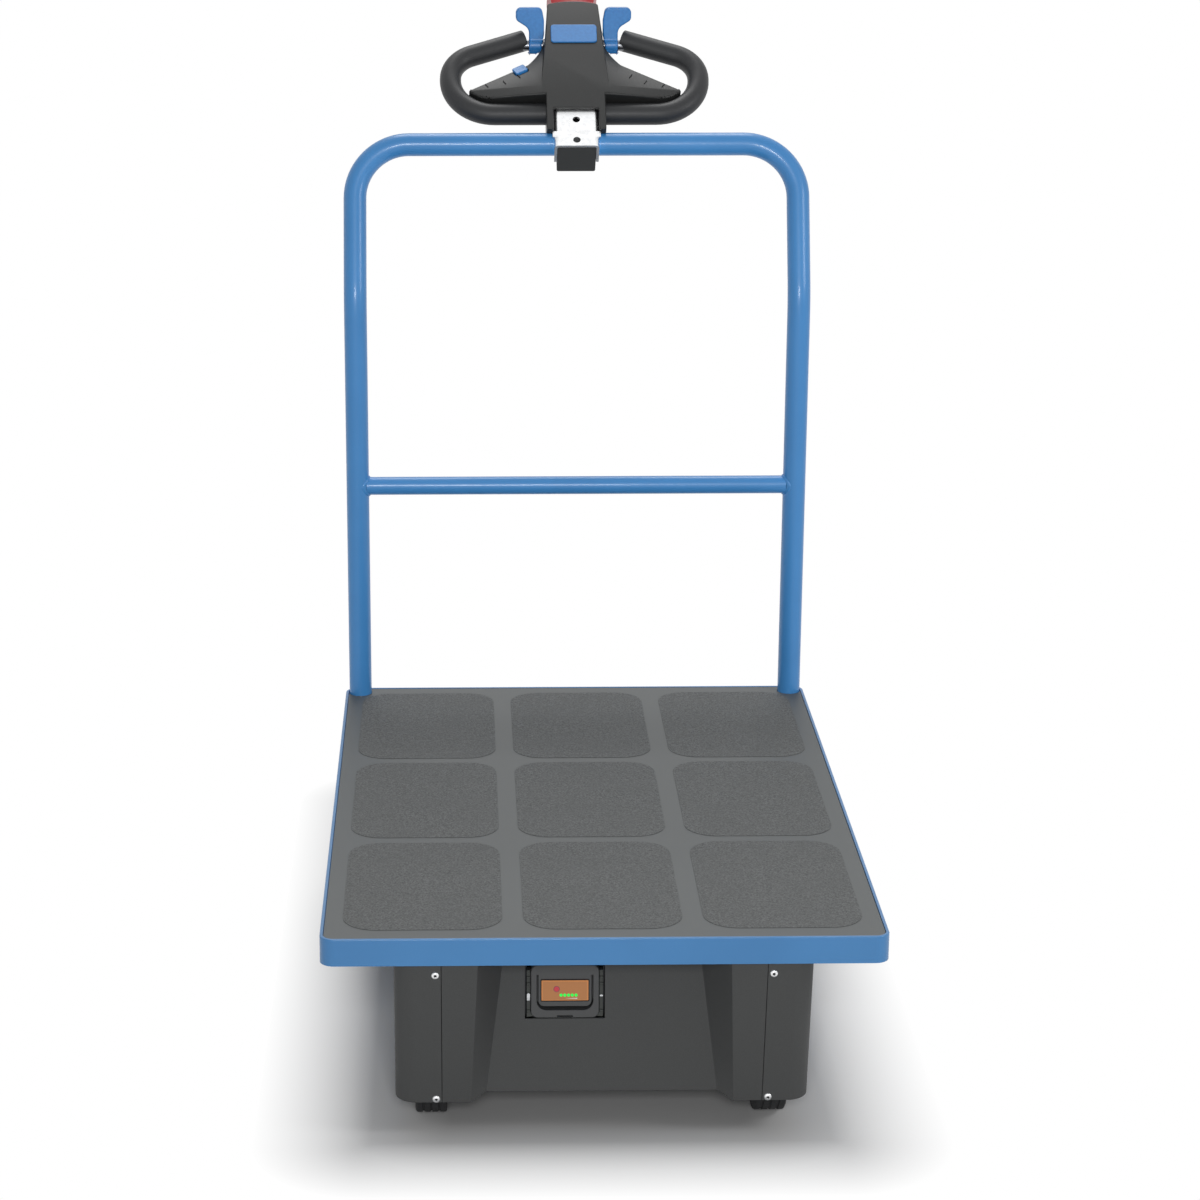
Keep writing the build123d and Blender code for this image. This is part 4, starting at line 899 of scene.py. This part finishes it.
# Swivel castors: pressed and zinc-plated plate and fork with a closed ball race, bolted to the pads, and a
# red foot brake with grip ribs. The wheel has a moulded grey rim with round holes and a black rubber tyre.
BOLT_X = 0.030
BOLT_Y = 0.040
BOLT_ACROSS = 0.013
BOLT_HEAD = 0.0053
WASHER = 0.0085
WASHER_THICK = 0.0014
PLATE_THICK = 0.004
PEDAL_RIBS = 5
PEDAL_RIB_HALF = (0.016, 0.0009, 0.0010)
PEDAL_RIB_EDGE = 0.0004
PEDAL_RIB_STEP = 0.006
PEDAL_RIB_START = 0.004
PEDAL_RIB_LEVEL = 0.0099
PEDAL_RUN = 0.072
PEDAL_FALL = 0.011
PEDAL_TILT = radians(8.7)

castor_zinc = rough_finish(
    "Zinc_plated_pressing", "#A9ABAE", "#BDBFC2", 0.012, (0.30, 0.42), 0.00004, Metallic=1.0
)
rim_plastic = rough_finish("Moulded_grey_rim", "#6E7173", "#787B7D", 0.002, (0.42, 0.52), 0.00005)
castor_rubber = rough_finish("Black_castor_rubber", "#1B1C1D", "#242526", 0.003, (0.6, 0.75), 0.0001)
pedal_red = rough_finish("Red_pedal_plastic", "#B3282C", "#BD3236", 0.003, (0.34, 0.44), 0.00003)
for side in ("left", "right"):
    swivel, spin = f"castor_{side}", f"castor_wheel_{side}"
    castor_parts = (
        # node, kind of piece, finish, body, slot, rounding of its edges, steps of the rounding
        ("castor_plate", "pressing", castor_zinc, "frame", "castor_zinc", 0.0006, 2),
        ("castor_fork", "pressing", castor_zinc, swivel, "castor_zinc", 0.0008, 2),
        ("castor_axle", "bolt", bright_screw, swivel, "zinc_plate", 0.0006, 2),
        ("brake_pedal", "moulding", pedal_red, swivel, "pedal_red", 0.0012, 3),
        ("castor_hub", "moulding", rim_plastic, spin, "castor_rim", 0.0008, 2),
    )
    for node, kind, finish, body, slot, width, steps in castor_parts:
        name = f"{node}_{side}"
        soft_copy(f"{name.capitalize()}_{kind}", name, finish, body, width, segments=steps)
    centre, outer, half = wheel_sizes(f"castor_tyre_{side}")
    inner = wheel_sizes(f"castor_hub_{side}")[1]
    bm = bmesh.new()
    lathe(bm, tyre_profile(inner, outer, half, ()), centre, (1, 0, 0), TYRE_STEPS)
    new_piece(f"Castor_tyre_{side}_rubber", bm, castor_rubber, spin, [f"castor_tyre_{side}"])

    plate_low, plate_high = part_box(f"castor_plate_{side}")
    plate_middle = (plate_low + plate_high) / 2
    under = plate_high.z - PLATE_THICK
    bm = bmesh.new()
    for x in (-BOLT_X, BOLT_X):
        for y in (-BOLT_Y, BOLT_Y):
            seat = Vector((plate_middle.x + x, plate_middle.y + y, under))
            washer = [(0.0, 0.0), (WASHER, 0.0), (WASHER, WASHER_THICK), (0.0, WASHER_THICK)]
            lathe(bm, washer, seat, (0, 0, -1), 24)
            hexagon(bm, seat - Vector((0, 0, WASHER_THICK)), (0, 0, -1), BOLT_ACROSS, BOLT_HEAD)
    new_piece(f"Castor_bolts_{side}", bm, bright_screw, "frame")

    pedal_low, pedal_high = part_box(f"brake_pedal_{side}")
    pedal_x = (pedal_low.x + pedal_high.x) / 2
    slope = Vector((0, PEDAL_RUN, -PEDAL_FALL)).normalized()
    tip = Vector((pedal_x, pedal_high.y - PEDAL_RIB_START, pedal_low.z + PEDAL_RIB_LEVEL))
    rib_low = [-half_size for half_size in PEDAL_RIB_HALF]
    bm = bmesh.new()
    for i in range(PEDAL_RIBS):
        middle = tip - slope * PEDAL_RIB_STEP * i
        place = Matrix.Translation(middle) @ Matrix.Rotation(-PEDAL_TILT, 4, "X")
        block(bm, rib_low, PEDAL_RIB_HALF, PEDAL_RIB_EDGE, place)
    new_piece(f"Brake_pedal_ribs_{side}", bm, pedal_red, swivel)

# Floor and light: a pale seamless floor, white where nothing shades it, a large soft light overhead, a
# strong one in front and a weak one at the right. The floor lightens to plain white away from the truck, as
# a studio sweep does. Under and round the truck's foot its colour is darkened to half, a painted shadow.
FLOOR_REACH = 40.0
TRUCK_HALF = (0.29, 0.62, 0.0)
SHADE_REACH = 0.15
# Painted shadow: the floor's colour falls to this share inside a rectangle under the truck, fading out beyond
# it.
PAINTED_SHADE_HALF = (0.19, 0.57, 0.0)
PAINTED_SHADE_REACH = 0.13
PAINTED_SHADE_LEVEL = 0.50
WORLD_LEVEL = 0.21
TRUCK_MIDDLE = (cad_box[0] + cad_box[1]) / 2


def seen_directly(tree):
    """One for the camera's rays and for what metal and glass show, zero for light that falls on the truck."""
    ray = add(tree, "LightPath").outputs
    direct = {0: ray["Is Camera Ray"], 1: ray["Is Glossy Ray"]}
    seen = add(tree, "Math", direct, operation="ADD").outputs["Value"]
    both = {0: seen, 1: ray["Is Transmission Ray"]}
    return add(tree, "Math", both, operation="ADD", use_clamp=True).outputs["Value"]


def distance_outside(tree, place, half):
    """How far a point of the floor lies outside a rectangle round the truck's middle."""
    folded = add(tree, "VectorMath", {0: place}, operation="ABSOLUTE").outputs["Vector"]
    beyond = add(tree, "VectorMath", {0: folded, 1: half}, operation="SUBTRACT").outputs["Vector"]
    outside = add(tree, "VectorMath", {0: beyond, 1: (0.0, 0.0, 0.0)}, operation="MAXIMUM").outputs["Vector"]
    return add(tree, "VectorMath", {0: outside}, operation="LENGTH").outputs["Value"]


bm = bmesh.new()
bmesh.ops.create_grid(bm, x_segments=1, y_segments=1, size=FLOOR_REACH)
floor_mesh = bpy.data.meshes.new("Studio_floor")
bm.to_mesh(floor_mesh)
bm.free()
floor = bpy.data.objects.new("Studio_floor", floor_mesh)
bpy.context.scene.collection.objects.link(floor)

sweep, tree, shader, place = new_finish("Matt_floor_sweep", Base_Color=linear("#E6E6E6"), Roughness=0.9)
away = spread(tree, distance_outside(tree, place, TRUCK_HALF), 0.0, 1.0, 0.0, SHADE_REACH)
# The floor's own colour darkened round the truck's foot: a painted shadow.
near = spread(tree, distance_outside(tree, place, PAINTED_SHADE_HALF), PAINTED_SHADE_LEVEL, 1.0, 0.0, PAINTED_SHADE_REACH)
matt = add(tree, "BsdfDiffuse", {"Color": near}).outputs["BSDF"]
glow = add(tree, "Emission", {"Strength": 1.0}).outputs["Emission"]
lit = add(tree, "MixShader", {"Fac": away, 1: matt, 2: glow}).outputs["Shader"]
both_floors = {"Fac": seen_directly(tree), 1: shader.outputs["BSDF"], 2: lit}
shown = add(tree, "MixShader", both_floors).outputs["Shader"]
link(tree, shown, tree.nodes["Material Output"], "Surface")
floor_mesh.materials.append(sweep)

world = bpy.data.worlds.new("Studio")
bpy.context.scene.world = world
world.use_nodes = True
tree = world.node_tree
brightness = spread(tree, seen_directly(tree), WORLD_LEVEL, 1.0, 0.0, 1.0)
link(tree, brightness, tree.nodes["Background"], "Strength")
tree.nodes["Background"].inputs["Color"].default_value = (1.0, 1.0, 1.0, 1.0)

LAMPS = (
    # name, place, size, watts
    ("Overhead_light", (0.0, 2.3, 4.4), 2.0, 62.0),
    ("Front_light", (-0.2, -5.6, 2.5), 1.2, 124.0),
    ("Right_light", (2.6, -1.3, 2.0), 0.9, 18.0),
)
for name, lamp_place, size, watts in LAMPS:
    lamp = bpy.data.lights.new(name, "AREA")
    lamp.size = size
    lamp.energy = watts
    lamp_object = bpy.data.objects.new(name, lamp)
    lamp_object.location = lamp_place
    lamp_object.rotation_euler = (TRUCK_MIDDLE - Vector(lamp_place)).to_track_quat("-Z", "Y").to_euler()
    bpy.context.scene.collection.objects.link(lamp_object)
bpy.context.scene.view_settings.view_transform = "Standard"

# Camera: the photograph's place, high in front of the deck, turned slightly left and looking down at it. The
# photograph's own lens looks level and is shifted far down; this one is tilted instead, so that other views
# keep the truck in the picture.
CAMERA_PLACE = (-0.1781, -4.0695, 1.7157)
CAMERA_PITCH = radians(16.27)
CAMERA_YAW = radians(0.94)
CAMERA_LENS = 90.66
CAMERA_SHIFT = 0.0786

camera = bpy.data.cameras.new("Camera")
camera.sensor_width = 36
camera.lens = CAMERA_LENS
camera.shift_x = CAMERA_SHIFT
camera_object = bpy.data.objects.new("Camera", camera)
camera_object.location = CAMERA_PLACE
camera_object.rotation_euler = (pi / 2 - CAMERA_PITCH, 0, -CAMERA_YAW)
bpy.context.scene.collection.objects.link(camera_object)
bpy.context.scene.camera = camera_object
